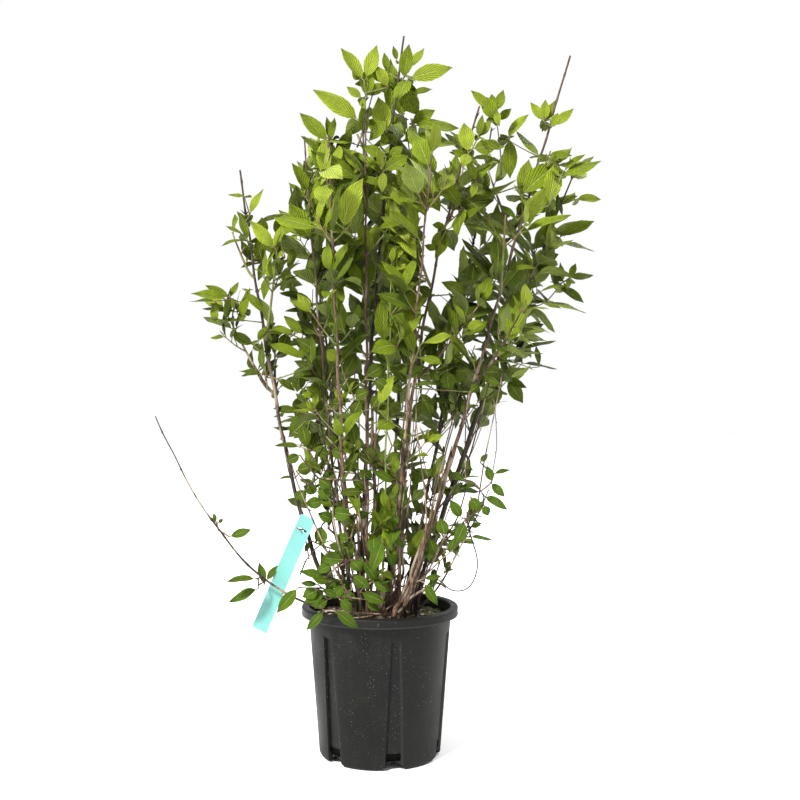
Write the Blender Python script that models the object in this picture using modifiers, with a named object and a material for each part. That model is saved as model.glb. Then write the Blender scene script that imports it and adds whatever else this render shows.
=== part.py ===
"""Potted panicle hydrangea: a shrub of many slim canes, in leaf, in a black nursery pot.

Metres, +Z up. The origin is the centre of the pot's flat underside, and -Y is the front.
The canes stand on a low woody crown in the potting mix. Most of them run into a mass of
foliage, whose stem carries on along the cane's own line. The canes with bare tips stay
whole, and their foliage grows from their sides.
"""

import math
import random
from collections import namedtuple

import bmesh
import bpy
from mathutils import Matrix, Vector
from mathutils.bvhtree import BVHTree

# Gap that neighbouring pieces keep
GAP = 0.0003

# Nursery pot
POT_HEIGHT = 0.241
RIM_RADIUS = 0.127
WALL_TOP_RADIUS = 0.1165
BASE_RADIUS = 0.0985
WALL = 0.002
LIP_HEIGHT = 0.0145
LIP_EDGE = 0.003
CORNER = 0.008
FLUTES = 6
FLUTE_DEPTH = 0.004
FLUTE_TURN = math.radians(-77.3)
FLUTE_HALF_TOP = math.radians(2.6)
FLUTE_HALF_FOOT = math.radians(7.5)
FLUTE_EDGE = math.radians(1.0)
FLUTE_TOP = 0.2065
FLUTE_FADE = 0.007
COLUMNS = 8
BASE_RING = 0.060
DRAIN_HOLE = (0.024, 0.020, 0.008)
DRAIN_HEIGHT = 0.0125
FOOT_ARCH = (0.030, 0.009, 0.009)

# Potting mix and the woody crown that the canes rise from
SOIL_TOP = 0.220
SOIL_CLEAR = 0.0012
SOIL_SHOULDER = 0.018
SOIL_STEPS = 24
CROWN_CENTRE = Vector((0.008, 0.0))
CROWN_RADIUS = 0.062
CROWN_TOP = 0.228
CROWN_SKIRT = 0.010
CROWN_STEPS = 16
# Stubs of old cut canes: place (x, y) and height of each
STUBS = (
    (-0.004, -0.016, 0.022),
    (0.018, 0.004, 0.030),
    (-0.012, 0.010, 0.018),
    (0.034, -0.026, 0.016),
    (0.030, 0.034, 0.020),
)
STUB_SUNK = 0.003
STUB_RADII = (0.0042, 0.0034)

# Canes
FLARE = 1.35
FOOT_RISE = 0.008
TIP_GIRTH = 0.34
CANE_POINTS = 8

# Stems and twigs of the foliage, and the spacing of the nodes that twigs grow from
STEM_SIDES = 4
STEM_RADIUS = 0.0030
STEM_GUARD = 0.0012
STUB_LENGTH = 0.006
NODE_STEP = 0.030
NODE_STEP_PER_LEAF = 0.58
NODE_JITTER = 0.3
TWIG_SIDES = 3
TWIG_RADIUS = 0.0016
TWIG_TIP_RADIUS = 0.0022
TWIG_GAP = 0.010
TWIG_END = 0.003
TWIG_LENGTHS = (0.75, 1.15)
TWIG_RISE = (46, 60)
UPWARD = 0.15
TOP_SHORTENING = 0.55
LONG_TWIG = 0.055
CROWN_TWIG = 0.075
LOW_CANE = 0.6
LOW_TWIG = 0.045

# Leaves: proportions to their length, and the angles at which pairs spread
CROWN_LEAF = 0.092
LOW_LEAF = 0.060
LEAF_SHAPE = 0.44
LEAF_BROADEST = 0.42
LEAF_CREST = 0.13
LEAF_THICKNESS = 0.016
LEAF_FOLD = 0.055
LEAF_ARCH = 0.07
LEAF_SINK = 0.0006
LEAF_CLEARANCE = 0.0008
LEAF_LENGTHS = (0.82, 1.08)
SMALLER_PAIR = 0.95
END_SPREAD = 58
MIDDLE_SPREAD = 64
TIP_SPREAD = 48
SPREAD_JITTER = 9
DROOP = 0.12

# Space that the foliage fills
CROWN_LEFT, CROWN_RIGHT = -0.318, 0.366
CROWN_FRONT, CROWN_BACK = -0.300, 0.300
CROWN_HIGHEST = 1.142
CROWN_LOWEST = 0.235

# Hanging label
LABEL_WIDTH = 0.0265
LABEL_LENGTH = 0.203
LABEL_THICKNESS = 0.0008
LABEL_CORNER = 0.006
SLOT_WIDTH = 0.015
SLOT_HEIGHT = 0.0034
SLOT_DROP = 0.023
LABEL_TWIG_RADII = (0.0015, 0.0012, 0.0009)
LABEL_TWIG_HOLD = 0.012
LABEL_TWIG_END = 0.021
LABEL_HEIGHT = 0.366
LABEL_TILT = math.radians(24)
LABEL_FACE = math.radians(-104)

Cane = namedtuple("Cane", "name foot tip sweep girth leafy_from")
Shoot = namedtuple("Shoot", "name cane share turn lift length twig leaf")
Mass = namedtuple("Mass", "name path radii twig leaf seed")

# foot (x, y) and tip (x, y, z); sweep bends the cane's plan run against its height;
# girth is the diameter above the flare; foliage takes over at the share leafy_from.
CANES = (
    Cane("west", (-0.047, -0.002), (-0.223, -0.030, 0.940), 0.52, 0.0075, 1.0),
    Cane("west_inner", (-0.038, 0.022), (-0.118, -0.070, 0.985), 0.65, 0.0060, 0.45),
    Cane("south_west", (-0.047, -0.026), (-0.076, -0.165, 0.965), 0.85, 0.0070, 0.50),
    Cane("north_west", (-0.024, 0.043), (-0.130, 0.165, 0.970), 0.80, 0.0060, 0.46),
    Cane("centre", (-0.028, -0.008), (0.038, -0.040, 1.150), 1.90, 0.0075, 1.0),
    Cane("green_shoot", (0.002, -0.032), (0.018, -0.130, 0.780), 1.00, 0.0045, 0.60),
    Cane("south_east", (0.030, -0.040), (0.151, -0.120, 1.020), 2.10, 0.0070, 1.0),
    Cane("east", (0.044, -0.012), (0.298, -0.060, 1.113), 1.00, 0.0075, 1.0),
    Cane("north_east", (0.034, 0.018), (0.190, 0.090, 1.035), 0.85, 0.0065, 0.46),
    Cane("east_wide", (0.058, 0.010), (0.315, 0.030, 0.935), 1.15, 0.0065, 0.45),
    Cane("east_low", (0.050, 0.036), (0.260, 0.140, 0.800), 0.95, 0.0050, 0.42),
    Cane("right_sprig", (0.058, -0.026), (0.170, -0.075, 0.435), 0.75, 0.0036, 0.42),
    Cane("far_left", (-0.014, -0.050), (-0.359, -0.030, 0.548), 0.40, 0.0040, 1.0),
    Cane("front_low", (0.020, -0.056), (-0.060, -0.130, 0.256), 0.80, 0.0036, 1.0),
    Cane("north", (0.012, 0.050), (0.050, 0.215, 0.985), 0.80, 0.0065, 0.46),
    Cane("north_mid", (-0.002, 0.024), (-0.030, 0.085, 1.060), 0.90, 0.0065, 0.46),
    Cane("south", (0.014, -0.012), (0.075, -0.195, 0.930), 1.00, 0.0060, 0.48),
    Cane("south_mid", (-0.020, -0.034), (-0.022, -0.125, 1.030), 1.10, 0.0060, 0.50),
)

# Side masses: where on which cane they start, which way and how steeply they grow.
SHOOTS = (
    Shoot("west_outer", "west", 0.42, 178, 38, 0.170, 0.070, 0.078),
    Shoot("west_back", "west", 0.50, 95, 45, 0.150, 0.070, 0.082),
    Shoot("west_front", "west", 0.62, -70, 62, 0.150, 0.055, 0.072),
    Shoot("west_upper", "west", 0.76, 170, 66, 0.105, 0.036, 0.064),
    Shoot("centre_front", "centre", 0.58, -62, 52, 0.150, 0.070, 0.088),
    Shoot("centre_left", "centre", 0.74, 170, 66, 0.200, 0.060, 0.092),
    Shoot("centre_right", "centre", 0.70, 10, 60, 0.190, 0.070, 0.092),
    Shoot("centre_top", "centre", 0.86, 195, 68, 0.095, 0.034, 0.080),
    Shoot("south_east_low", "south_east", 0.48, -30, 45, 0.150, 0.070, 0.086),
    Shoot("south_east_mid", "south_east", 0.66, -120, 55, 0.130, 0.055, 0.080),
    Shoot("south_east_high", "south_east", 0.78, 40, 70, 0.110, 0.045, 0.076),
    Shoot("east_under", "east", 0.42, -60, 40, 0.160, 0.070, 0.086),
    Shoot("east_mid", "east", 0.58, -90, 55, 0.160, 0.065, 0.088),
    Shoot("east_inner", "east", 0.68, 140, 66, 0.150, 0.060, 0.086),
    Shoot("east_upper", "east", 0.78, 10, 66, 0.090, 0.035, 0.076),
    Shoot("far_left_upper", "far_left", 0.50, 30, 35, 0.045, 0.020, 0.044),
    Shoot("far_left_lower", "far_left", 0.14, 170, 25, 0.055, 0.025, 0.052),
    Shoot("rim_spray", "front_low", 0.98, -125, 8, 0.045, 0.020, 0.056),
    Shoot("low_west", "west_inner", 0.16, 140, 30, 0.090, 0.045, 0.064),
    Shoot("low_front", "south_mid", 0.12, -100, 50, 0.100, 0.045, 0.066),
    Shoot("low_right", "east_wide", 0.14, -40, 40, 0.095, 0.040, 0.060),
    Shoot("low_back", "north", 0.16, 80, 40, 0.100, 0.050, 0.066),
    Shoot("mid_back_left", "north_west", 0.34, 140, 40, 0.130, 0.060, 0.080),
    Shoot("mid_back_right", "north_east", 0.36, 70, 45, 0.130, 0.060, 0.080),
)


def finish(name, colour, roughness):
    """Plain surface of one sub-part."""
    material = bpy.data.materials.new(name)
    material.use_nodes = True
    shader = material.node_tree.nodes["Principled BSDF"]
    shader.inputs["Base Color"].default_value = (*colour, 1.0)
    shader.inputs["Roughness"].default_value = roughness
    shader.inputs["Metallic"].default_value = 0.0
    return material


def add_object(name, data, collection, material=None):
    obj = bpy.data.objects.new(name, data)
    collection.objects.link(obj)
    if material:
        data.materials.append(material)
    return obj


def settled_mesh(obj, name, weld=0.000001):
    """The object's evaluated mesh, with a curve's caps welded and its place applied."""
    bpy.context.view_layer.update()
    graph = bpy.context.evaluated_depsgraph_get()
    mesh = bpy.data.meshes.new_from_object(obj.evaluated_get(graph))
    mesh.name = name
    mesh.transform(obj.matrix_world)
    bm = bmesh.new()
    bm.from_mesh(mesh)
    if weld:
        bmesh.ops.remove_doubles(bm, verts=bm.verts, dist=weld)
        bmesh.ops.recalc_face_normals(bm, faces=bm.faces)
    bm.to_mesh(mesh)
    bm.free()
    return mesh


def turned(name, profile, steps, collection, material):
    """A solid of revolution from (radius, height) points that run down its outer side."""
    mesh = bpy.data.meshes.new(name)
    points = [(radius, 0.0, height) for radius, height in profile]
    edges = [(i, i + 1) for i in range(len(points) - 1)]
    mesh.from_pydata(points, edges, [])
    obj = add_object(name, mesh, collection, material)
    screw = obj.modifiers.new("Turn", "SCREW")
    screw.steps = steps
    screw.render_steps = steps
    screw.use_merge_vertices = True
    screw.merge_threshold = 0.00001
    settled = settled_mesh(obj, name)
    obj.modifiers.clear()
    obj.data = settled
    bpy.data.meshes.remove(mesh)
    return obj


def wall_radius(height):
    """Outer radius of the pot's tapering wall."""
    share = (height - CORNER) / (POT_HEIGHT - CORNER)
    return BASE_RADIUS + (WALL_TOP_RADIUS - BASE_RADIUS) * share


def flute_columns(height):
    """Angles of one panel's columns from its flute's middle, and which lie in the flute."""
    share = min(max(height / FLUTE_TOP, 0.0), 1.0)
    half = FLUTE_HALF_FOOT + (FLUTE_HALF_TOP - FLUTE_HALF_FOOT) * share
    flute = [(-half - FLUTE_EDGE, 0), (-half, 1), (0.0, 1), (half, 1), (half + 2 * FLUTE_EDGE, 0)]
    start = flute[-1][0]
    stop = 2 * math.pi / FLUTES - half - FLUTE_EDGE
    plain = COLUMNS - len(flute)
    return flute + [(start + (stop - start) * (i + 1) / (plain + 1), 0) for i in range(plain)]


def press_flutes(mesh):
    """Move the turned pot's columns to the flutes' edges, and press the flutes in."""
    floor_end = BASE_RADIUS - CORNER - WALL
    for vert in mesh.vertices:
        x, y, z = vert.co
        radius = math.hypot(x, y)
        if radius < 1e-5:
            continue
        column = round(math.atan2(y, x) / (2 * math.pi / (FLUTES * COLUMNS))) % (FLUTES * COLUMNS)
        panel, place = divmod(column, COLUMNS)
        offset, in_flute = flute_columns(z)[place]
        angle = FLUTE_TURN + panel * 2 * math.pi / FLUTES + offset
        fade = min(max((FLUTE_TOP - z) / FLUTE_FADE, 0.0), 1.0)
        on_wall = 1.0 if radius > floor_end + 0.001 else 0.0
        radius -= FLUTE_DEPTH * in_flute * fade * on_wall
        vert.co = (radius * math.cos(angle), radius * math.sin(angle), z)


def cut(obj, cutter):
    cutter.hide_render = True
    cutter.display_type = "WIRE"
    boolean = obj.modifiers.new("Cut", "BOOLEAN")
    boolean.operation = "DIFFERENCE"
    boolean.solver = "EXACT"
    boolean.object = cutter


def box_cutter(name, size, place, angle, cutters):
    """A box whose place and turn are given round the pot's axis."""
    bm = bmesh.new()
    bmesh.ops.create_cube(bm, size=1.0)
    bmesh.ops.scale(bm, vec=size, verts=bm.verts)
    radius, height, roll = place
    turn = Matrix.Rotation(angle, 4, "Z") @ Matrix.Translation((radius, 0, height))
    bmesh.ops.transform(bm, matrix=turn @ Matrix.Rotation(roll, 4, "X"), verts=bm.verts)
    mesh = bpy.data.meshes.new(name)
    bm.to_mesh(mesh)
    bm.free()
    return add_object(name, mesh, cutters)


def build_pot(parts, cutters):
    """Nursery pot with a down-turned lip, six flutes and a drain hole at each flute's foot."""
    under = POT_HEIGHT - WALL
    heights = (FLUTE_TOP, FLUTE_TOP - FLUTE_FADE)
    corner_in = CORNER - WALL
    profile = [(0.0, WALL), (BASE_RING, WALL), (BASE_RADIUS - CORNER, WALL)]
    profile += [(BASE_RADIUS - WALL - 0.3 * corner_in, WALL + 0.3 * corner_in)]
    profile += [(wall_radius(CORNER) - WALL, CORNER)]
    profile += [(wall_radius(z) - WALL, z) for z in reversed(heights)]
    profile += [(wall_radius(POT_HEIGHT) - WALL, POT_HEIGHT - LIP_EDGE)]
    profile += [(wall_radius(POT_HEIGHT) - WALL + LIP_EDGE, POT_HEIGHT)]
    profile += [(RIM_RADIUS - LIP_EDGE, POT_HEIGHT), (RIM_RADIUS, POT_HEIGHT - LIP_EDGE)]
    profile += [(RIM_RADIUS, POT_HEIGHT - LIP_HEIGHT), (RIM_RADIUS - WALL, POT_HEIGHT - LIP_HEIGHT)]
    profile += [(RIM_RADIUS - WALL, under - LIP_EDGE), (wall_radius(under), under - LIP_EDGE)]
    profile += [(wall_radius(z), z) for z in heights]
    profile += [(wall_radius(CORNER), CORNER), (BASE_RADIUS - 0.3 * CORNER, 0.3 * CORNER)]
    profile += [(BASE_RADIUS - CORNER, 0.0), (BASE_RING, 0.0), (0.0, 0.0)]
    black = finish("pot_plastic", (0.022, 0.023, 0.025), 0.5)
    pot = turned("nursery_pot", profile, FLUTES * COLUMNS, parts, black)
    press_flutes(pot.data)
    pot.data.shade_smooth()
    pot.data.set_sharp_from_angle(angle=math.radians(28))
    foot = BASE_RADIUS - FLUTE_DEPTH
    for i in range(FLUTES):
        angle = FLUTE_TURN + i * 2 * math.pi / FLUTES
        place = (foot, DRAIN_HEIGHT, 0.0)
        cut(pot, box_cutter(f"drain_hole_{i}", DRAIN_HOLE, place, angle, cutters))
        place = (foot, 0.0, math.pi / 4)
        cut(pot, box_cutter(f"foot_arch_{i}", FOOT_ARCH, place, angle, cutters))
    return pot


def build_soil(parts):
    """Potting mix: a turned solid with a flat top, clear of the wall and its flutes."""
    inside = WALL + SOIL_CLEAR
    deep = inside + FLUTE_DEPTH
    neck = FLUTE_TOP - FLUTE_FADE
    floor = WALL + GAP
    foot = BASE_RADIUS - 2 * CORNER - deep
    profile = [(0.0, SOIL_TOP), (wall_radius(SOIL_TOP) - inside, SOIL_TOP)]
    profile += [(wall_radius(FLUTE_TOP) - inside, FLUTE_TOP), (wall_radius(neck) - deep, neck)]
    profile += [(wall_radius(CORNER) - deep, SOIL_SHOULDER + WALL), (foot, SOIL_SHOULDER)]
    profile += [(foot, floor), (0.0, floor)]
    brown = finish("potting_mix", (0.035, 0.024, 0.016), 0.95)
    return turned("potting_mix", profile, SOIL_STEPS, parts, brown)


def build_crown(parts):
    """Woody crown: a low flat-topped mound with the stubs of old cut canes fused on it."""
    low = SOIL_TOP + GAP
    profile = [(0.0, CROWN_TOP), (CROWN_RADIUS, CROWN_TOP)]
    profile += [(CROWN_RADIUS + CROWN_SKIRT, low), (0.0, low)]
    bark = finish("crown_bark", (0.16, 0.105, 0.07), 0.9)
    crown = turned("root_crown", profile, CROWN_STEPS, parts, bark)
    crown.data.transform(Matrix.Translation((*CROWN_CENTRE, 0.0)))
    stubs = []
    for x, y, height in STUBS:
        start = Vector((x, y, CROWN_TOP - STUB_SUNK))
        lean = Vector((0.3 * x, 0.3 * y, height))
        stubs.append(limb([start, start + lean], STUB_RADII, 6))
    return fuse(crown, stubs)


def foot_share(cane):
    """Share of the cane's height that its upright, flared foot takes."""
    return FOOT_RISE / (cane.tip[2] - CROWN_TOP - GAP)


def cane_point(cane, share):
    """Centre of the cane at a share of its height: upright at its foot, then bending out."""
    straight = foot_share(cane)
    run = (max(share - straight, 0.0) / (1.0 - straight)) ** cane.sweep
    x = cane.foot[0] + (cane.tip[0] - cane.foot[0]) * run
    y = cane.foot[1] + (cane.tip[1] - cane.foot[1]) * run
    foot_z = CROWN_TOP + GAP
    return Vector((x, y, foot_z + (cane.tip[2] - foot_z) * share))


def cane_radius(cane, share):
    """The cane tapers to its tip, and flares at its foot."""
    flare = 1.0 + (FLARE - 1.0) * max(0.0, 1.0 - share / foot_share(cane))
    return 0.5 * cane.girth * flare * (1.0 - (1.0 - TIP_GIRTH) * share)


def cane_shares(cane):
    """Shares of the cane's points, closer together where it bends near its foot."""
    start = foot_share(cane)
    length = cane.leafy_from - start
    return [0.0] + [start + length * (i / (CANE_POINTS - 1)) ** 1.5 for i in range(CANE_POINTS)]


def on_cane(cane, share):
    """Centre, direction and radius of the built cane, which runs straight between its points."""
    shares = cane_shares(cane)
    after = next((i for i, value in enumerate(shares) if value > share), len(shares) - 1)
    low, high = shares[after - 1], shares[after]
    start, stop = cane_point(cane, low), cane_point(cane, high)
    part = (share - low) / (high - low)
    radius = cane_radius(cane, low) * (1.0 - part) + cane_radius(cane, high) * part
    return start.lerp(stop, part), (stop - start).normalized(), radius


def build_cane(cane, parts, materials):
    """One tapering limb, a bevelled curve from the crown to its cut tip or its foliage."""
    shares = cane_shares(cane)
    curve = bpy.data.curves.new(f"cane_{cane.name}", "CURVE")
    curve.dimensions = "3D"
    curve.bevel_depth = 1.0
    curve.bevel_resolution = 1
    curve.use_fill_caps = True
    spline = curve.splines.new("POLY")
    spline.points.add(len(shares) - 1)
    for point, share in zip(spline.points, shares):
        point.co = (*cane_point(cane, share), 1.0)
        point.radius = cane_radius(cane, share)
    young = cane.name == "green_shoot"
    return add_object(f"cane_{cane.name}", curve, parts, materials["young" if young else "bark"])


def limb(points, radii, sides):
    """A closed tapering limb: a polygon extruded from point to point."""
    bm = bmesh.new()
    bmesh.ops.create_circle(bm, cap_ends=True, segments=sides, radius=1.0)
    ring = [vert.co.copy() for vert in bm.verts]
    face = bm.faces[:][0]
    order = [list(bm.verts).index(vert) for vert in face.verts]
    heading = Vector((0.0, 0.0, 1.0))
    turn = Matrix.Identity(3)
    for i, (point, radius) in enumerate(zip(points, radii)):
        if i:
            grown = bmesh.ops.extrude_face_region(bm, geom=[face])["geom"]
            if i > 1:
                bmesh.ops.delete(bm, geom=[face], context="FACES_ONLY")
            face = next(item for item in grown if isinstance(item, bmesh.types.BMFace))
        ahead = (points[min(i + 1, len(points) - 1)] - points[max(i - 1, 0)]).normalized()
        turn = heading.rotation_difference(ahead).to_matrix() @ turn
        heading = ahead
        for vert, slot in zip(face.verts, order):
            vert.co = point + turn @ (ring[slot] * radius)
    bmesh.ops.recalc_face_normals(bm, faces=bm.faces)
    mesh = bpy.data.meshes.new("limb")
    bm.to_mesh(mesh)
    bm.free()
    return mesh


def leaf(base, direction, face_up, length, swell=0.0, start=-LEAF_SINK):
    """An eight-sided leaf: folded along its midrib, arched, pointed at both ends."""
    along = direction.normalized()
    up = face_up - along * face_up.dot(along)
    up = up.normalized() if up.length > 1e-4 else along.orthogonal().normalized()
    across = up.cross(along)
    place = Matrix((along, across, up)).transposed().to_4x4()
    place.translation = base
    half_width = 0.5 * length * LEAF_SHAPE + swell
    half_thick = 0.5 * length * LEAF_THICKNESS + swell
    bm = bmesh.new()
    bmesh.ops.create_uvsphere(bm, u_segments=4, v_segments=2, radius=1.0)
    for vert in bm.verts:
        x, y, z = (round(value) for value in vert.co)
        if z:
            vert.co = (length * LEAF_CREST, 0.0, z * half_thick + 0.5 * length * LEAF_ARCH)
        elif y:
            edge_rise = length * (LEAF_FOLD + 0.8 * LEAF_ARCH)
            vert.co = (length * LEAF_BROADEST, y * half_width, edge_rise)
        else:
            vert.co = (length + swell if x > 0 else start, 0.0, 0.0)
    bmesh.ops.transform(bm, matrix=place, verts=bm.verts)
    mesh = bpy.data.meshes.new("leaf")
    bm.to_mesh(mesh)
    bm.free()
    return mesh


def shape_tree(mesh):
    """Search tree and box of a mesh, to keep other solids off it."""
    points = [vert.co.copy() for vert in mesh.vertices]
    low = Vector([min(point[i] for point in points) for i in range(3)])
    high = Vector([max(point[i] for point in points) for i in range(3)])
    return BVHTree.FromPolygons(points, [tuple(poly.vertices) for poly in mesh.polygons]), low, high


def touches(mesh, taken):
    tree, low, high = shape_tree(mesh)
    for other, other_low, other_high in taken:
        apart = any(low[i] > other_high[i] or high[i] < other_low[i] for i in range(3))
        if not apart and tree.overlap(other):
            return True
    return False


def in_crown(mesh):
    """Whether a leaf or twig stays in the space that the shrub fills."""
    return all(
        CROWN_LEFT < vert.co.x < CROWN_RIGHT
        and CROWN_FRONT < vert.co.y < CROWN_BACK
        and CROWN_LOWEST < vert.co.z < CROWN_HIGHEST
        for vert in mesh.vertices
    )


def is_closed(mesh):
    """Whether each edge of the mesh has just two faces."""
    bm = bmesh.new()
    bm.from_mesh(mesh)
    closed = all(len(edge.link_faces) == 2 for edge in bm.edges)
    bm.free()
    return closed


def keep_main_body(mesh):
    """Fill sealed hollows and drop loose scraps: only the largest body stays."""
    bm = bmesh.new()
    bm.from_mesh(mesh)
    bmesh.ops.triangulate(bm, faces=bm.faces)
    left = set(bm.faces)
    bodies = []
    while left:
        body = [left.pop()]
        for face in body:
            for edge in face.edges:
                near = [other for other in edge.link_faces if other in left]
                left.difference_update(near)
                body.extend(near)
        bodies.append(body)
    bodies.sort(key=len)
    scraps = [face for body in bodies[:-1] for face in body]
    bmesh.ops.delete(bm, geom=scraps, context="FACES")
    bm.to_mesh(mesh)
    bm.free()


def fuse(host, meshes):
    """One Boolean union of the host with all the meshes, applied, which leaves one body.

    Where neither solver closes it, one of the meshes is left out, the last that helps.
    """
    for left_out in range(len(meshes), 0, -1):
        chosen = meshes[:left_out] + meshes[left_out + 1:]
        for solver in ("EXACT", "MANIFOLD"):
            fused = united(host, chosen, solver)
            if is_closed(fused):
                host.data = fused
                return host
    raise RuntimeError(f"{host.name} can't be fused")


def united(host, meshes, solver):
    """The host's mesh after a union with all the meshes."""
    pieces = bpy.data.collections.new("pieces_to_fuse")
    bpy.context.scene.collection.children.link(pieces)
    for mesh in meshes:
        add_object("piece", mesh, pieces)
    union = host.modifiers.new("Fuse", "BOOLEAN")
    union.operation = "UNION"
    union.operand_type = "COLLECTION"
    union.collection = pieces
    union.solver = solver
    fused = settled_mesh(host, host.name)
    keep_main_body(fused)
    host.modifiers.clear()
    for obj in list(pieces.objects):
        bpy.data.objects.remove(obj)
    bpy.data.collections.remove(pieces)
    return fused


def point_on(path, distance):
    """Point and direction at a distance along a run of points."""
    for start, stop in zip(path, path[1:]):
        step = (stop - start).length
        if distance <= step:
            return start + (stop - start) * (distance / step), (stop - start).normalized()
        distance -= step
    return path[-1], (path[-1] - path[-2]).normalized()


def crown_stem(cane):
    """Stem that carries on along its cane's line, from the cane's end to its tip."""
    end = cane_point(cane, cane.leafy_from)
    ahead = (cane_point(cane, cane.leafy_from + 0.01) - end).normalized()
    shares = [cane.leafy_from + (1.0 - cane.leafy_from) * i / 4 for i in range(1, 5)]
    path = [end + ahead * GAP] + [cane_point(cane, share) for share in shares]
    first = max(cane_radius(cane, cane.leafy_from), STEM_RADIUS)
    return path, [first] + [STEM_RADIUS] * len(shares)


def side_stem(shoot, cane):
    """Stem that starts clear of the cane's side, and bends upwards as it grows."""
    foot, run, girth = on_cane(cane, shoot.share)
    turn, lift = math.radians(shoot.turn), math.radians(shoot.lift)
    out = Vector((math.cos(turn), math.sin(turn), 0.0))
    out = (out - run * out.dot(run)).normalized()
    start = foot + out * (girth + 1.5 * GAP)
    level = math.cos(lift)
    grow = Vector((math.cos(turn) * level, math.sin(turn) * level, math.sin(lift)))
    path = [start, start + out * STUB_LENGTH]
    steps = 2
    for i in range(steps):
        rise = 0.25 * i / steps if shoot.lift > 20 else -0.5 * i / steps
        path.append(path[-1] + (grow + Vector((0, 0, rise))).normalized() * (shoot.length / steps))
    thick = max(min(STEM_RADIUS, 1.4 * girth), TWIG_RADIUS)
    return path, [thick] * len(path)


def leaf_pair(point, ahead, turn, spread, length, chance):
    """Two opposite leaves: base point, direction, upper side and length of each."""
    across = Matrix.Rotation(turn, 3, ahead) @ ahead.orthogonal().normalized()
    for side in (across, -across):
        angle = math.radians(spread + chance.uniform(-SPREAD_JITTER, SPREAD_JITTER))
        direction = ahead * math.cos(angle) + side * math.sin(angle)
        direction.z -= DROOP * chance.random()
        roll = (chance.uniform(-0.25, 0.25), chance.uniform(-0.25, 0.25), 0.8)
        yield point, direction, ahead * 0.5 + Vector(roll), length * chance.uniform(*LEAF_LENGTHS)


def plan_masses():
    """Stem, twig length and leaf length of every mass, the side masses first."""
    canes = {cane.name: cane for cane in CANES}
    masses = []
    for seed, shoot in enumerate(SHOOTS):
        path, radii = side_stem(shoot, canes[shoot.cane])
        masses.append(Mass(f"foliage_{shoot.name}", path, radii, shoot.twig, shoot.leaf, seed))
    for seed, cane in enumerate(CANES):
        if cane.leafy_from < 1.0:
            path, radii = crown_stem(cane)
            low = cane.tip[2] < LOW_CANE
            twig, blade = (LOW_TWIG, LOW_LEAF) if low else (CROWN_TWIG, CROWN_LEAF)
            masses.append(Mass(f"foliage_{cane.name}", path, radii, twig, blade, 100 + seed))
    return masses


def grow_twigs(mass, stem_length, chance):
    """Opposite twigs up the stem, each pair a quarter turn on: start, direction and length."""
    step = NODE_STEP + NODE_STEP_PER_LEAF * mass.leaf
    count = max(1, round((stem_length - 0.02) / step))
    turn = chance.uniform(0, math.pi)
    for k in range(count):
        distance = stem_length - (count - k) * step * 0.94
        if distance < STUB_LENGTH + 0.004:
            distance = STUB_LENGTH + 0.010
        point, ahead = point_on(mass.path, distance)
        turn += math.pi / 2 + chance.uniform(-NODE_JITTER, NODE_JITTER)
        across = Matrix.Rotation(turn, 3, ahead) @ ahead.orthogonal().normalized()
        reach = mass.twig * (1.0 - TOP_SHORTENING * (k / count) ** 2)
        for side in (across, -across):
            rise = math.radians(chance.uniform(*TWIG_RISE))
            bend = ahead * math.cos(rise) + side * math.sin(rise) + Vector((0, 0, UPWARD))
            yield point, bend.normalized(), reach * chance.uniform(*TWIG_LENGTHS)


def grow_mass(mass, taken, parts, material):
    """Foliage of one stem: twigs that stay clear of what is there, and leaves fused on them."""
    chance = random.Random(mass.seed)
    stem_length = sum((b - a).length for a, b in zip(mass.path, mass.path[1:]))
    pieces = []
    own = []
    leaves = []
    for point, bend, long in grow_twigs(mass, stem_length, chance):
        end = point + bend * long
        radii = (TWIG_RADIUS, TWIG_TIP_RADIUS)
        twig = limb([point, end + bend * TWIG_END], radii, TWIG_SIDES)
        if not in_crown(twig) or touches(twig, taken):
            continue
        pieces.append(twig)
        own.append(shape_tree(twig))
        turn = chance.uniform(0, math.pi)
        leaves += leaf_pair(end, bend, turn, END_SPREAD, mass.leaf, chance)
        if long > LONG_TWIG:
            middle = point + bend * long * 0.5
            small = SMALLER_PAIR * mass.leaf
            leaves += leaf_pair(middle, bend, turn + math.pi / 2, MIDDLE_SPREAD, small, chance)
    ahead = (mass.path[-1] - mass.path[-2]).normalized()
    tip = mass.path[-1] - ahead * 0.004
    turn = chance.uniform(0, math.pi)
    leaves += leaf_pair(tip, ahead, turn, TIP_SPREAD, SMALLER_PAIR * mass.leaf, chance)
    for base, direction, face_up, length in leaves:
        guard = leaf(base, direction, face_up, length, swell=LEAF_CLEARANCE)
        blade = leaf(base, direction, face_up, length, swell=LEAF_CLEARANCE, start=TWIG_GAP)
        if in_crown(guard) and not touches(guard, taken) and not touches(blade, own):
            pieces.append(leaf(base, direction, face_up, length))
            own.append(shape_tree(blade))
    host = add_object(mass.name, limb(mass.path, mass.radii, STEM_SIDES), parts, material)
    return fuse(host, pieces)


def label_frame():
    """Where the label's slot is, the way its twig points, and the label's own axes."""
    west = next(cane for cane in CANES if cane.name == "west")
    foot_z = CROWN_TOP + GAP
    share = (LABEL_HEIGHT - foot_z) / (west.tip[2] - foot_z)
    side, run, girth = on_cane(west, share)
    forward = Vector((math.cos(LABEL_FACE), math.sin(LABEL_FACE), 0.0))
    start = side + (forward - run * forward.dot(run)).normalized() * (girth + 1.5 * GAP)
    across = Vector((0, 0, 1)).cross(forward)
    upright = Vector((0, 0, 1)) * math.cos(LABEL_TILT) + across * math.sin(LABEL_TILT)
    return start, forward, upright


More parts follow.
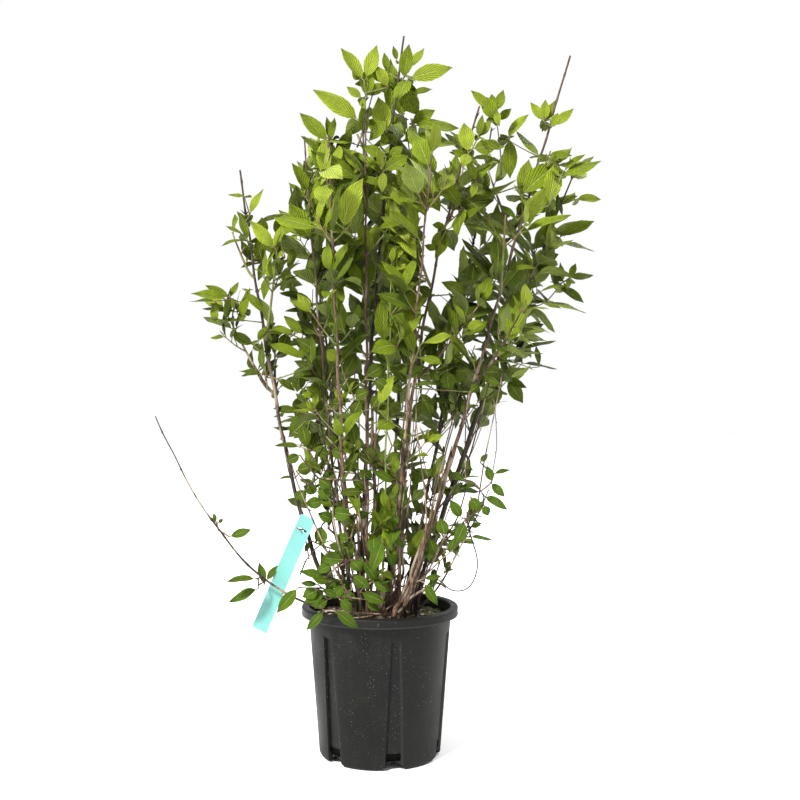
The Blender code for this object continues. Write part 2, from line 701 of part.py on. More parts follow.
def build_label(parts):
    """A bare plastic strip that hangs by its slot on a small twig of the west cane."""
    start, forward, upright = label_frame()
    wood = finish("label_twig_bark", (0.16, 0.10, 0.06), 0.8)
    hold = start + forward * LABEL_TWIG_HOLD
    end = start + forward * LABEL_TWIG_END + Vector((-0.003, 0.0, 0.001))
    twig = add_object("label_twig", limb([start, hold, end], LABEL_TWIG_RADII, 6), parts, wood)
    curve = bpy.data.curves.new("hanging_label", "CURVE")
    curve.dimensions = "2D"
    curve.fill_mode = "BOTH"
    curve.extrude = LABEL_THICKNESS / 2
    half, top, bottom = LABEL_WIDTH / 2, SLOT_DROP, SLOT_DROP - LABEL_LENGTH
    corners = [(half, top, 0), (-half, top, 90)]
    outline = []
    for x, y, start_angle in corners:
        centre_x = x - math.copysign(LABEL_CORNER, x)
        for step in range(5):
            angle = math.radians(start_angle + step * 22.5)
            round_x = centre_x + LABEL_CORNER * math.cos(angle)
            outline.append((round_x, y - LABEL_CORNER + LABEL_CORNER * math.sin(angle)))
    outline += [(-half, bottom), (half, bottom)]
    slot = [(-SLOT_WIDTH / 2, -SLOT_HEIGHT / 2), (-SLOT_WIDTH / 2, SLOT_HEIGHT / 2)]
    slot += [(SLOT_WIDTH / 2, SLOT_HEIGHT / 2), (SLOT_WIDTH / 2, -SLOT_HEIGHT / 2)]
    for points in (outline, slot):
        spline = curve.splines.new("POLY")
        spline.points.add(len(points) - 1)
        spline.use_cyclic_u = True
        for point, (x, y) in zip(spline.points, points):
            point.co = (x, y, 0.0, 1.0)
    aqua = finish("label_plastic", (0.36, 0.86, 0.80), 0.45)
    label = add_object("hanging_label", curve, parts, aqua)
    across = upright.cross(forward)
    place = Matrix((across, upright, forward)).transposed().to_4x4()
    slot_drop = SLOT_HEIGHT / 2 - LABEL_TWIG_RADII[1] - GAP
    place.translation = hold - Vector((0.0, 0.0, slot_drop))
    label.matrix_world = place
    return twig, label


def main():
    for obj in list(bpy.data.objects):
        bpy.data.objects.remove(obj)
    parts = bpy.data.collections.new("potted_panicle_hydrangea")
    cutters = bpy.data.collections.new("cutters")
    for collection in (parts, cutters):
        bpy.context.scene.collection.children.link(collection)
    solids = [build_pot(parts, cutters), build_soil(parts), build_crown(parts)]
    woods = {"bark": finish("cane_bark", (0.27, 0.17, 0.10), 0.75)}
    woods["young"] = finish("young_shoot", (0.30, 0.42, 0.14), 0.6)
    solids += [build_cane(cane, parts, woods) for cane in CANES]
    solids += build_label(parts)
    taken = [shape_tree(settled_mesh(obj, "guard")) for obj in solids]
    green = finish("leaves", (0.13, 0.30, 0.035), 0.55)
    masses = plan_masses()
    guards = {}
    for mass in masses:
        radii = [radius + STEM_GUARD for radius in mass.radii]
        guards[mass.name] = shape_tree(limb(mass.path, radii, STEM_SIDES))
    for mass in masses:
        others = [guards[name] for name in guards if name != mass.name]
        foliage = grow_mass(mass, taken + others, parts, green)
        taken.append(shape_tree(foliage.data))


main()
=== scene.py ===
"""Looks of a potted panicle hydrangea: barked canes, leafy sprays, nursery pot and label.

Metres, +Z up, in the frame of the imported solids. The origin is the centre of the pot's
flat underside, and -Y is the front. Canes, side shoots and masses of foliage follow the
rule of the part's own source, which is written again here and carried on to finer twigs.
"""

import math
import random
from collections import namedtuple

import bmesh
import bpy
import numpy as np
from bpy.props import FloatProperty, FloatVectorProperty, IntProperty, PointerProperty
from mathutils import Matrix, Vector, noise


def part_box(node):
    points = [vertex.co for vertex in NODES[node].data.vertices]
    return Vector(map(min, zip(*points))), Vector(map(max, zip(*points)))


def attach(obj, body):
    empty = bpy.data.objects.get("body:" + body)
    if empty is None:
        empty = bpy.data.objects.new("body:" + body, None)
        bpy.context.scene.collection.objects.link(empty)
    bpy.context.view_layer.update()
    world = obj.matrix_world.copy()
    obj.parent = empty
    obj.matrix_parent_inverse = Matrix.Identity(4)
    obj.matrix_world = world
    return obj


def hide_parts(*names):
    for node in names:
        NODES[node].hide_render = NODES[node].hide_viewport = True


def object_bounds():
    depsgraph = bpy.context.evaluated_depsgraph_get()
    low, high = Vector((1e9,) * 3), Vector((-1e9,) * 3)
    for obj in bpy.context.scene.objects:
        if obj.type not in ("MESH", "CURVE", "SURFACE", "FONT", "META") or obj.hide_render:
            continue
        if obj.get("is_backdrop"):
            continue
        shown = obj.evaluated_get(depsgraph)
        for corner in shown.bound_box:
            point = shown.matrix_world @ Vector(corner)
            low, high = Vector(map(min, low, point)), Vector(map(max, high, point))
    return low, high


bl_info = {
    "name": "Potted panicle hydrangea",
    "version": (1, 0, 0),
    "blender": (4, 5, 0),
    "location": "View3D > Sidebar > Hydrangea",
    "description": "Bark, twigs, leaves, pot and label of a young panicle hydrangea",
    "category": "Object",
}

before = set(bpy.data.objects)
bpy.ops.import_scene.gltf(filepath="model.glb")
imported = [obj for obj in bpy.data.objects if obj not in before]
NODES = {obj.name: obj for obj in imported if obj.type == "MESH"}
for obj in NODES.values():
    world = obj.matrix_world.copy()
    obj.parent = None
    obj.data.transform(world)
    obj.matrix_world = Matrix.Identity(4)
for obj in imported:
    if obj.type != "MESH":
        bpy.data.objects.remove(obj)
SOLID_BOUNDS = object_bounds()
GAP = 0.0003
UP = Vector((0.0, 0.0, 1.0))
FRONT = Vector((0.0, -1.0, 0.0))
TURN = 2 * math.pi
NOISE_ROUGHNESS = 0.55

# Nursery pot, as in the solids
POT_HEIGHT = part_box("nursery_pot")[1].z
RIM_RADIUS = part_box("nursery_pot")[1].x
WALL_TOP_RADIUS = 0.1165
BASE_RADIUS = 0.0985
WALL = 0.002
LIP_HEIGHT = 0.0145
LIP_EDGE = 0.003
LIP_FOOT_EDGE = 0.0008
INNER_EDGE = 0.0022
BEAD = 0.0004
BEAD_HEIGHTS = (0.224, 0.2255)
CORNER = 0.008
FLUTES = 6
FLUTE_DEPTH = 0.0048
FLUTE_TURN = math.radians(-77.3)
FLUTE_HALF_TOP = math.radians(2.6)
FLUTE_HALF_FOOT = math.radians(7.5)
FLUTE_EDGE = math.radians(0.8)
FLUTE_TOP = 0.2065
FLUTE_FADE = 0.009
PANEL_COLUMNS = 26
DRAIN_HOLE = (0.030, 0.024, 0.0125)
DRAIN_CORNER = 0.0025
DRAIN_HEIGHT = 0.0205
RAISED_FLOOR = 0.0120
FLOOR_PLAIN = 0.078
FOOT_ARCH_HALF = 0.024
FOOT_ARCH_HEIGHT = 0.0140
FOOT_ARCH_CREST = 0.0025

# Potting mix and woody crown
SOIL_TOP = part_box("potting_mix")[1].z
SOIL_RADIUS = 0.1128
SOIL_CELLS = 110
CLODS = 9
MOSS_FLAKES = 420
MOSS_SIDE = (-0.7, 0.7)
DRY_FLAKES = 160
CROWN_CENTRE = Vector((0.008, 0.0, 0.0))
CROWN_RADIUS = 0.062
CROWN_TOP = 0.228
CANE_SWELLING = (0.0095, 0.0095, 0.0105)
STUB_RADIUS = 0.0050
STUBS = (
    (-0.004, -0.016, 0.022),
    (0.018, 0.004, 0.030),
    (-0.012, 0.010, 0.018),
    (0.034, -0.026, 0.016),
    (0.030, 0.034, 0.020),
)

# Canes
FLARE = 1.35
FOOT_RISE = 0.008
TIP_GIRTH = 0.40
RING_STEP = 0.0055
ZIGZAG = 0.0011
BARK_SIDES = 10
BARK_RELIEF = 0.11
COLLAR = 0.30
COLLAR_REACH = 0.0028
BUD_STEP = 0.058
MISSING_BUD = 0.30
BROKEN_SPUR = 0.22
SPUR_END = 0.0003
SPUR_RISE = 0.8
COMPANION_RINGS = 24
COMPANION_TOP = (0.22, 0.70)
COMPANION_DRIFT = 2.4
COMPANION_AWAY = (0.010, 0.030)
COMPANION_RADIUS = (0.0010, 0.0020)

# Stems and twigs of the foliage, and the spacing of their nodes
STUB_LENGTH = 0.006
STEM_RADIUS = 0.0030
NODE_STEP = 0.030
NODE_STEP_PER_LEAF = 0.58
NODE_JITTER = 0.3
TWIG_LENGTHS = (0.75, 1.15)
TWIG_RISE = (46, 60)
UPWARD = 0.15
TOP_SHORTENING = 0.55
CROWN_TWIG = 0.075
CROWN_LEAF = 0.092
LOW_CANE = 0.6
LOW_TWIG = 0.045
LOW_LEAF = 0.060
LOW_SPRIGS_TO = 0.46
PAIR_SPACING, DENSE_SPACING = 0.44, 0.54
PAIR_SPREAD, SPRIG_SPREAD = 56, 58
SPRIG_LIFT = 0.45
MISSING_LEAF = 0.06
GREEN_STEMS_FROM = 0.62
GREEN_TWIGS_FROM = 0.52
CROWN_FRONT, CROWN_BACK = -0.288, 0.296
CROWN_LOWEST = 0.222
ABOVE_TIP = 0.058
CLEAR_OF_CANE = 0.010
CROWN_EDGE = 0.018
NO_CEILING = 2.0

# Leaves: the depth of a spray, the height from which backward leaves grow, how much smaller
# the lower leaves are, and the form of stalk and blade
SPRAY_DEPTH = 0.018
BACK_LEAVES_FROM = 0.62
SMALL_LEAF = 0.76
SMALL_LEAVES_TO = 0.60
FULL_LEAVES_FROM = 0.98
STALK_SHARE = 0.14
STALK_RADII = (0.0011, 0.0009, 0.0007)
LEAF_ROWS = 8
LEAF_OUTLINE = (0.82, 1.32)
LEAF_THICKNESS = 0.0032

# The crown's reach to the left and right at each height, as seen from the front
OUTLINE = (
    (0.180, -0.130, 0.120),
    (0.260, -0.150, 0.140),
    (0.340, -0.165, 0.205),
    (0.440, -0.170, 0.215),
    (0.550, -0.190, 0.205),
    (0.600, -0.215, 0.245),
    (0.655, -0.240, 0.290),
    (0.675, -0.300, 0.295),
    (0.765, -0.312, 0.330),
    (0.800, -0.262, 0.345),
    (0.900, -0.256, 0.362),
    (0.922, -0.245, 0.366),
    (0.935, -0.155, 0.366),
    (0.975, -0.150, 0.366),
    (1.010, -0.150, 0.320),
    (1.060, -0.140, 0.300),
    (1.075, -0.110, 0.285),
    (1.090, -0.100, 0.135),
    (1.125, -0.072, 0.115),
    (1.152, -0.060, 0.045),
)

# Places with sky, or with none but the single leaves below, seen from the front: left, top,
# right and bottom in the photograph's pixels
SKY_GAPS = (
    (300, 30, 462, 128), (462, 80, 612, 148), (338, 120, 357, 150), (392, 122, 406, 138),
    (362, 134, 380, 147), (512, 137, 534, 158), (424, 144, 452, 170), (303, 154, 312, 169),
    (459, 162, 470, 184), (389, 168, 400, 179), (486, 168, 501, 186), (562, 177, 583, 191),
    (262, 184, 289, 212), (500, 190, 516, 210), (486, 197, 497, 214), (561, 203, 588, 216),
    (418, 204, 462, 272), (530, 216, 543, 242), (290, 226, 298, 240), (303, 231, 317, 249),
    (558, 247, 584, 261), (297, 252, 306, 269), (428, 272, 449, 288), (539, 277, 553, 288),
    (268, 281, 278, 298), (306, 290, 330, 298), (338, 290, 350, 308), (270, 303, 296, 324),
    (246, 308, 262, 338), (258, 335, 268, 353), (277, 364, 290, 378), (281, 388, 295, 406),
    (468, 404, 478, 424), (448, 418, 463, 462), (358, 420, 371, 443), (478, 420, 504, 463),
    (378, 421, 394, 434), (289, 432, 301, 444), (384, 438, 397, 450), (426, 455, 434, 474),
    (383, 473, 391, 493), (360, 489, 367, 502), (448, 489, 466, 502), (302, 500, 316, 518),
    (439, 506, 461, 526), (330, 518, 341, 533), (286, 550, 314, 578), (417, 557, 427, 572),
    (282, 506, 326, 540), (284, 535, 314, 566), (268, 560, 300, 592), (252, 588, 286, 628),
)

# Hanging label
LABEL_WIDTH = 0.0265
LABEL_LENGTH = 0.203
LABEL_THICKNESS = 0.0008
LABEL_CORNER = 0.006
LABEL_SLOT = (0.015, 0.0034)
LABEL_SLOT_DROP = 0.023
LABEL_ROWS = 44
SLOT_ROW = 38
LABEL_TWIG_HOLD = 0.012
LABEL_TWIG_END = 0.021
LABEL_HEIGHT = 0.366
LABEL_TILT = math.radians(24)
LABEL_FACE = math.radians(-104)

# Dry rootlet, through places of the photograph
ROOTLET_RADIUS = 0.0011
ROOTLET_DEPTH = -0.055
ROOTLET = (
    (436, 578), (443, 583), (449, 590), (458, 592), (467, 590), (474, 582),
    (478, 568), (477, 555), (472, 540), (468, 526), (467, 512),
)

# Floor and lights: each light's place, size, share of the key light's power, and colour
FLOOR_RADIUS = 14.0
FLOOR_COLOUR = (0.91, 0.91, 0.91)
LIT_POINT = Vector((0.0, 0.0, 0.6))
LIGHTS = (
    ("key", (-3.3, -5.1, 6.0), 1.3, 1.0, (1.0, 0.98, 0.93)),
    ("rim", (3.2, 3.6, 5.2), 2.4, 0.18, (1.0, 1.0, 1.0)),
)

# Camera
CAMERA_DISTANCE = 1.8357
CAMERA_HEIGHT = 0.5943
CAMERA_PITCH = 0.0114
CAMERA_LENS = 50.86
CAMERA_SHIFT = 0.0251
PICTURE = 800
SENSOR = 36.0
PIXEL = CAMERA_DISTANCE * SENSOR / (CAMERA_LENS * PICTURE)
MIDDLE_COLUMN = PICTURE * (0.5 - CAMERA_SHIFT)
LEVEL_ROW = 387.1

Cane = namedtuple("Cane", "name foot tip sweep girth leafy_from bark")
Shoot = namedtuple("Shoot", "name cane share turn lift length twig leaf")
Mass = namedtuple("Mass", "name path twig leaf seed side")
Spray = namedtuple("Spray", "cane behind leaves")

# foot (x, y) and tip (x, y, z); sweep bends the cane's plan run against its height;
# girth is the diameter above the flare; foliage starts at the share leafy_from.
CANES = (
    Cane("west", (-0.047, -0.002), (-0.223, -0.030, 0.940), 0.52, 0.0075, 1.0, "dark"),
    Cane("west_inner", (-0.038, 0.022), (-0.118, -0.070, 0.985), 0.65, 0.0060, 0.45, "tan"),
    Cane("south_west", (-0.047, -0.026), (-0.076, -0.165, 0.965), 0.85, 0.0070, 0.50, "tan"),
    Cane("north_west", (-0.024, 0.043), (-0.130, 0.165, 0.970), 0.80, 0.0060, 0.46, "dark"),
    Cane("centre", (-0.028, -0.008), (0.038, -0.040, 1.150), 1.90, 0.0075, 1.0, "dark"),
    Cane("green_shoot", (0.002, -0.032), (0.018, -0.130, 0.780), 1.00, 0.0045, 0.60, "green"),
    Cane("south_east", (0.030, -0.040), (0.151, -0.120, 1.020), 2.10, 0.0070, 1.0, "tan"),
    Cane("east", (0.044, -0.012), (0.298, -0.060, 1.113), 1.00, 0.0075, 1.0, "tan"),
    Cane("north_east", (0.034, 0.018), (0.190, 0.090, 1.035), 0.85, 0.0065, 0.46, "dark"),
    Cane("east_wide", (0.058, 0.010), (0.315, 0.030, 0.935), 1.15, 0.0065, 0.45, "dark"),
    Cane("east_low", (0.050, 0.036), (0.260, 0.140, 0.800), 0.95, 0.0050, 0.42, "tan"),
    Cane("right_sprig", (0.058, -0.026), (0.170, -0.075, 0.435), 0.75, 0.0036, 0.42, "dark"),
    Cane("far_left", (-0.014, -0.050), (-0.359, -0.030, 0.548), 0.40, 0.0040, 1.0, "dark"),
    Cane("front_low", (0.020, -0.056), (-0.060, -0.130, 0.256), 0.80, 0.0036, 1.0, "tan"),
    Cane("north", (0.012, 0.050), (0.050, 0.215, 0.985), 0.80, 0.0065, 0.46, "dark"),
    Cane("north_mid", (-0.002, 0.024), (-0.030, 0.085, 1.060), 0.90, 0.0065, 0.46, "tan"),
    Cane("south", (0.014, -0.012), (0.075, -0.195, 0.930), 1.00, 0.0060, 0.48, "tan"),
    Cane("south_mid", (-0.020, -0.034), (-0.022, -0.125, 1.030), 1.10, 0.0060, 0.50, "tan"),
)
CANE = {cane.name: cane for cane in CANES}

# Side masses: where on which cane they start, which way and how steeply they grow.
SHOOTS = (
    Shoot("west_outer", "west", 0.50, 178, 60, 0.150, 0.060, 0.078),
    Shoot("west_back", "west", 0.50, 95, 45, 0.150, 0.070, 0.082),
    Shoot("west_front", "west", 0.62, -70, 62, 0.150, 0.055, 0.072),
    Shoot("west_upper", "west", 0.76, 170, 66, 0.105, 0.036, 0.064),
    Shoot("centre_front", "centre", 0.58, -62, 52, 0.150, 0.070, 0.088),
    Shoot("centre_left", "centre", 0.74, 170, 66, 0.200, 0.060, 0.092),
    Shoot("centre_right", "centre", 0.70, 10, 60, 0.190, 0.070, 0.092),
    Shoot("centre_top", "centre", 0.86, 195, 68, 0.095, 0.034, 0.080),
    Shoot("south_east_low", "south_east", 0.48, -30, 45, 0.150, 0.070, 0.086),
    Shoot("south_east_mid", "south_east", 0.66, -120, 55, 0.130, 0.055, 0.080),
    Shoot("south_east_high", "south_east", 0.78, 40, 70, 0.110, 0.045, 0.076),
    Shoot("east_under", "east", 0.42, -60, 40, 0.160, 0.070, 0.086),
    Shoot("east_mid", "east", 0.58, -90, 55, 0.160, 0.065, 0.088),
    Shoot("east_inner", "east", 0.68, 140, 66, 0.150, 0.060, 0.086),
    Shoot("east_upper", "east", 0.78, 10, 66, 0.090, 0.035, 0.076),
    Shoot("far_left_upper", "far_left", 0.50, 30, 35, 0.045, 0.020, 0.044),
    Shoot("far_left_lower", "far_left", 0.14, 170, 25, 0.055, 0.025, 0.052),
    Shoot("rim_spray", "front_low", 0.98, -125, 8, 0.045, 0.020, 0.046),
    Shoot("low_west", "west_inner", 0.16, 140, 30, 0.090, 0.045, 0.064),
    Shoot("low_front", "south_mid", 0.12, -100, 50, 0.100, 0.045, 0.066),
    Shoot("low_right", "east_wide", 0.14, -40, 40, 0.095, 0.040, 0.060),
    Shoot("low_back", "north", 0.16, 80, 40, 0.100, 0.050, 0.066),
    Shoot("mid_back_left", "north_west", 0.34, 140, 40, 0.130, 0.060, 0.080),
    Shoot("mid_back_right", "north_east", 0.36, 70, 45, 0.130, 0.060, 0.080),
)

# Leaves that stand out singly: the cane that bears them, how far behind it they stand, and
# each leaf's base, tip and breadth in the photograph's pixels
SPRAYS = (
    Spray("south_mid", 0.0, (
        (364, 82, 340, 50, 14), (366, 80, 377, 46, 15), (362, 80, 352, 72, 11),
        (386, 84, 367, 65, 13), (362, 99, 347, 88, 8), (366, 97, 386, 83, 12),
        (367, 99, 368, 66, 15), (388, 88, 376, 66, 12))),
    Spray("south_mid", 0.02, (
        (360, 122, 315, 87, 19), (386, 134, 378, 97, 19), (386, 132, 367, 121, 14),
        (387, 120, 369, 142, 13))),
    Spray("centre", 0.016, (
        (397, 62, 393, 47, 6), (403, 80, 409, 45, 15), (409, 70, 424, 48, 9), (388, 74, 384, 53, 8),
        (391, 118, 390, 60, 20), (400, 118, 405, 80, 22), (398, 88, 419, 117, 20),
        (396, 92, 387, 62, 14), (393, 112, 392, 142, 12))),
    Spray("centre", 0.006, (
        (408, 80, 452, 66, 17), (411, 96, 433, 87, 8), (406, 82, 416, 104, 12))),
    Spray("south_mid", -0.01, (
        (384, 176, 343, 147, 12), (383, 172, 410, 154, 14), (365, 138, 361, 103, 11),
        (382, 170, 378, 147, 8), (386, 158, 362, 146, 11), (388, 158, 403, 147, 10),
        (384, 186, 360, 176, 9), (386, 192, 409, 178, 9))),
    Spray("west_inner", -0.01, (
        (329, 143, 300, 112, 15), (330, 142, 327, 117, 8), (331, 143, 335, 118, 8),
        (336, 163, 352, 129, 14), (335, 163, 300, 137, 13), (330, 178, 311, 150, 13))),
    Spray("centre", -0.016, (
        (411, 124, 436, 111, 14), (412, 126, 460, 127, 14), (397, 142, 458, 143, 15),
        (430, 182, 424, 146, 20))),
    Spray("south_east", 0.02, (
        (490, 110, 471, 91, 10), (496, 112, 503, 91, 10), (496, 121, 483, 96, 16),
        (498, 121, 511, 109, 9), (493, 116, 492, 93, 11))),
    Spray("south_east", -0.01, (
        (476, 182, 467, 158, 9), (477, 182, 493, 156, 9), (468, 154, 464, 120, 16),
        (478, 137, 491, 121, 10), (472, 149, 498, 146, 15), (478, 138, 482, 115, 8),
        (466, 158, 452, 150, 8), (500, 150, 486, 140, 9))),
    Spray("south_east", -0.012, (
        (443, 231, 438, 257, 15), (441, 230, 431, 249, 8), (437, 250, 424, 245, 7),
        (447, 230, 488, 208, 8), (463, 209, 431, 171, 17), (428, 190, 440, 212, 13),
        (444, 226, 432, 225, 7))),
    Spray("south_east", 0.01, (
        (490, 270, 462, 238, 9), (471, 288, 474, 262, 12), (467, 293, 441, 282, 12),
        (432, 296, 418, 286, 10), (414, 302, 405, 281, 9))),
    Spray("east", -0.012, (
        (521, 197, 529, 159, 18), (517, 221, 495, 204, 8))),
    Spray("west", -0.01, (
        (254, 345, 231, 332, 11), (270, 325, 257, 339, 6), (269, 330, 291, 330, 9),
        (288, 333, 281, 351, 12), (303, 335, 284, 314, 10), (303, 310, 285, 309, 5),
        (263, 374, 239, 370, 5), (266, 374, 274, 359, 7), (277, 379, 296, 389, 7),
        (308, 367, 292, 379, 10), (304, 341, 302, 362, 7))),
    Spray("west_inner", -0.02, (
        (322, 525, 316, 543, 9), (311, 541, 304, 553, 5), (331, 515, 346, 511, 12),
        (338, 551, 320, 566, 12))),
    Spray("east", 0.0, (
        (507, 140, 526, 112, 10), (509, 138, 510, 179, 15), (463, 208, 518, 181, 9),
        (540, 158, 516, 131, 9))),
    Spray("east", -0.01, (
        (543, 122, 530, 103, 9), (544, 122, 545, 100, 10), (545, 122, 555, 101, 9),
        (553, 127, 573, 111, 9), (544, 118, 535, 112, 8), (551, 128, 558, 113, 9))),
    Spray("east", -0.03, (
        (520, 197, 560, 157, 20), (522, 215, 548, 196, 18), (548, 206, 557, 160, 19),
        (547, 156, 572, 156, 9), (560, 178, 601, 158, 12), (563, 172, 585, 153, 8))),
    Spray("east_wide", 0.0, (
        (549, 208, 577, 193, 9), (575, 200, 602, 198, 9), (560, 237, 594, 219, 12),
        (557, 243, 596, 249, 6), (536, 262, 559, 254, 13), (545, 240, 550, 215, 14))),
    Spray("east_wide", 0.02, (
        (569, 278, 576, 263, 7), (569, 278, 594, 274, 8), (558, 287, 586, 300, 10),
        (556, 290, 549, 262, 9), (563, 282, 560, 262, 6), (546, 302, 588, 311, 6),
        (532, 308, 559, 331, 10))),
    Spray("east_low", 0.0, (
        (529, 329, 544, 324, 7), (522, 349, 556, 339, 5), (539, 367, 536, 345, 6),
        (522, 363, 558, 369, 5), (507, 379, 524, 404, 14), (505, 378, 527, 388, 9))),
    Spray("west", -0.01, (
        (245, 197, 228, 194, 5), (250, 215, 260, 187, 9), (246, 222, 237, 211, 5),
        (248, 241, 240, 213, 8), (244, 235, 226, 225, 4), (245, 241, 220, 242, 4))),
    Spray("west", 0.01, (
        (262, 238, 262, 217, 13), (282, 240, 279, 214, 14), (285, 258, 262, 240, 10),
        (253, 263, 241, 240, 9), (262, 263, 257, 239, 13), (257, 263, 240, 267, 5),
        (268, 275, 265, 301, 9))),
    Spray("west", 0.03, (
        (272, 278, 284, 256, 11), (289, 272, 294, 243, 10), (300, 247, 286, 241, 6),
        (283, 285, 290, 268, 9))),
    Spray("west_inner", -0.01, (
        (311, 240, 289, 203, 20), (309, 193, 293, 163, 12), (306, 198, 288, 183, 6),
        (309, 202, 326, 176, 8))),
    Spray("west", -0.01, (
        (228, 300, 191, 292, 9), (230, 298, 206, 284, 9), (216, 301, 189, 303, 3),
        (237, 312, 202, 308, 6), (243, 321, 221, 320, 4), (230, 298, 238, 281, 6),
        (241, 320, 247, 287, 10), (246, 292, 264, 314, 9))),
    Spray("west", -0.005, (
        (253, 345, 231, 332, 9), (258, 342, 266, 326, 8), (262, 374, 238, 370, 5),
        (265, 377, 270, 360, 7), (270, 354, 267, 345, 5), (280, 380, 294, 389, 6))),
    Spray("west_inner", 0.0, (
        (300, 412, 273, 408, 8), (312, 414, 289, 437, 20), (290, 430, 273, 427, 4),
        (300, 447, 274, 444, 6), (295, 478, 278, 478, 3))),
    Spray("far_left", 0.0, (
        (216, 523, 208, 517, 4), (216, 522, 213, 513, 4), (218, 523, 223, 519, 4),
        (229, 537, 252, 529, 9))),
    Spray("far_left", 0.004, (
        (256, 579, 226, 582, 6), (258, 589, 228, 603, 8), (264, 585, 259, 562, 8),
        (266, 581, 278, 565, 7))),
    Spray("front_low", -0.004, (
        (324, 611, 306, 631, 10), (334, 611, 359, 629, 10), (320, 607, 311, 603, 6))),
    Spray("south_west", -0.03, (
        (298, 588, 277, 613, 12), (322, 546, 322, 527, 11), (343, 560, 320, 558, 13),
        (326, 577, 298, 572, 7), (325, 590, 304, 603, 14), (334, 579, 355, 598, 14),
        (345, 585, 330, 600, 10), (318, 585, 300, 583, 6))),
    Spray("south_mid", -0.03, (
        (352, 515, 330, 512, 15), (356, 515, 369, 514, 9), (352, 540, 340, 562, 16),
        (350, 538, 334, 537, 9), (352, 575, 370, 590, 12), (360, 592, 386, 603, 11),
        (357, 575, 362, 556, 9), (372, 582, 392, 592, 9))),
    Spray("green_shoot", -0.03, (
        (384, 532, 374, 556, 10), (388, 538, 393, 568, 10), (383, 540, 371, 574, 14),
        (385, 527, 400, 516, 12), (384, 525, 377, 514, 9), (390, 535, 406, 548, 7))),
    Spray("south_west", -0.045, (
        (338, 597, 322, 590, 8), (340, 600, 352, 612, 10), (332, 565, 316, 572, 10),
        (350, 560, 362, 572, 12), (347, 548, 328, 545, 9), (362, 560, 380, 585, 11),
        (352, 590, 340, 606, 9), (366, 600, 380, 612, 9))),
    Spray("west_inner", -0.060, (
        (318, 590, 302, 598, 13), (330, 582, 312, 578, 10), (340, 578, 325, 590, 9),
        (336, 556, 324, 566, 8), (345, 592, 356, 604, 10), (328, 600, 314, 609, 9))),
    Spray("south_mid", 0.01, (
        (366, 492, 352, 478, 9), (372, 500, 388, 492, 8), (360, 470, 345, 462, 12),
        (388, 478, 402, 468, 9), (330, 500, 318, 487, 12), (322, 470, 303, 462, 11),
        (318, 492, 303, 486, 11), (324, 502, 305, 504, 12), (334, 520, 318, 514, 11),
        (345, 510, 331, 505, 12), (352, 526, 340, 518, 11), (336, 472, 322, 477, 11),
        (330, 455, 312, 448, 12), (345, 455, 352, 436, 10))),
    Spray("south_east", 0.0, (
        (418, 478, 434, 470, 9), (424, 482, 408, 474, 10), (440, 562, 424, 552, 9),
        (436, 556, 430, 538, 10), (448, 548, 462, 536, 8), (436, 575, 430, 590, 8))),
    Spray("west_inner", 0.02, (
        (294, 378, 318, 371, 14), (300, 370, 297, 392, 15), (322, 398, 317, 375, 15),
        (306, 394, 295, 418, 17), (330, 382, 311, 367, 12), (302, 424, 307, 448, 13),
        (318, 430, 308, 454, 12), (312, 404, 330, 396, 13))),
    Spray("south_west", 0.0, (
        (344, 376, 357, 351, 14), (361, 383, 342, 390, 17), (366, 377, 385, 364, 14),
        (354, 397, 369, 391, 13), (350, 415, 334, 421, 12), (372, 408, 380, 394, 13),
        (346, 402, 330, 404, 13), (360, 400, 352, 418, 12), (340, 360, 326, 350, 13),
        (374, 380, 388, 388, 12))),
    Spray("south_west", 0.01, (
        (345, 455, 331, 450, 13), (296, 471, 314, 466, 13), (318, 478, 331, 488, 12),
        (372, 480, 360, 470, 12), (326, 436, 338, 446, 12), (300, 455, 286, 462, 10),
        (306, 490, 294, 500, 10), (340, 470, 352, 462, 10))),
    Spray("south_east", 0.0, (
        (416, 348, 441, 342, 9), (415, 346, 396, 337, 9), (452, 368, 433, 376, 14),
        (455, 366, 464, 384, 13), (447, 370, 449, 392, 15), (450, 366, 438, 361, 10),
        (484, 372, 503, 372, 14), (470, 392, 480, 384, 10))),
    Spray("south_mid", 0.0, (
        (404, 392, 388, 384, 10), (420, 392, 432, 416, 15), (424, 400, 413, 418, 12),
        (408, 376, 424, 366, 13), (398, 368, 386, 356, 14), (402, 410, 390, 404, 12),
        (428, 430, 440, 438, 10), (412, 436, 398, 432, 11))),
    Spray("green_shoot", 0.01, (
        (393, 462, 383, 473, 13), (412, 470, 428, 479, 14), (392, 446, 404, 443, 12),
        (386, 428, 396, 420, 10))),
    Spray("green_shoot", 0.0, (
        (362, 447, 373, 465, 17), (402, 452, 385, 462, 10), (402, 480, 401, 513, 11))),
    Spray("south_east", -0.02, (
        (424, 583, 438, 606, 10), (424, 579, 441, 576, 5), (445, 536, 440, 518, 13))),
    Spray("right_sprig", 0.0, (
        (478, 486, 458, 486, 5), (470, 497, 481, 510, 10), (484, 505, 489, 517, 9),
        (491, 483, 505, 497, 9), (484, 496, 508, 510, 9), (492, 482, 487, 466, 9),
        (494, 474, 511, 469, 4), (466, 522, 455, 545, 12), (462, 518, 450, 500, 10),
        (470, 527, 482, 523, 6), (470, 537, 493, 540, 4), (455, 538, 449, 553, 8),
        (463, 480, 452, 472, 8), (480, 462, 488, 454, 6))),
)

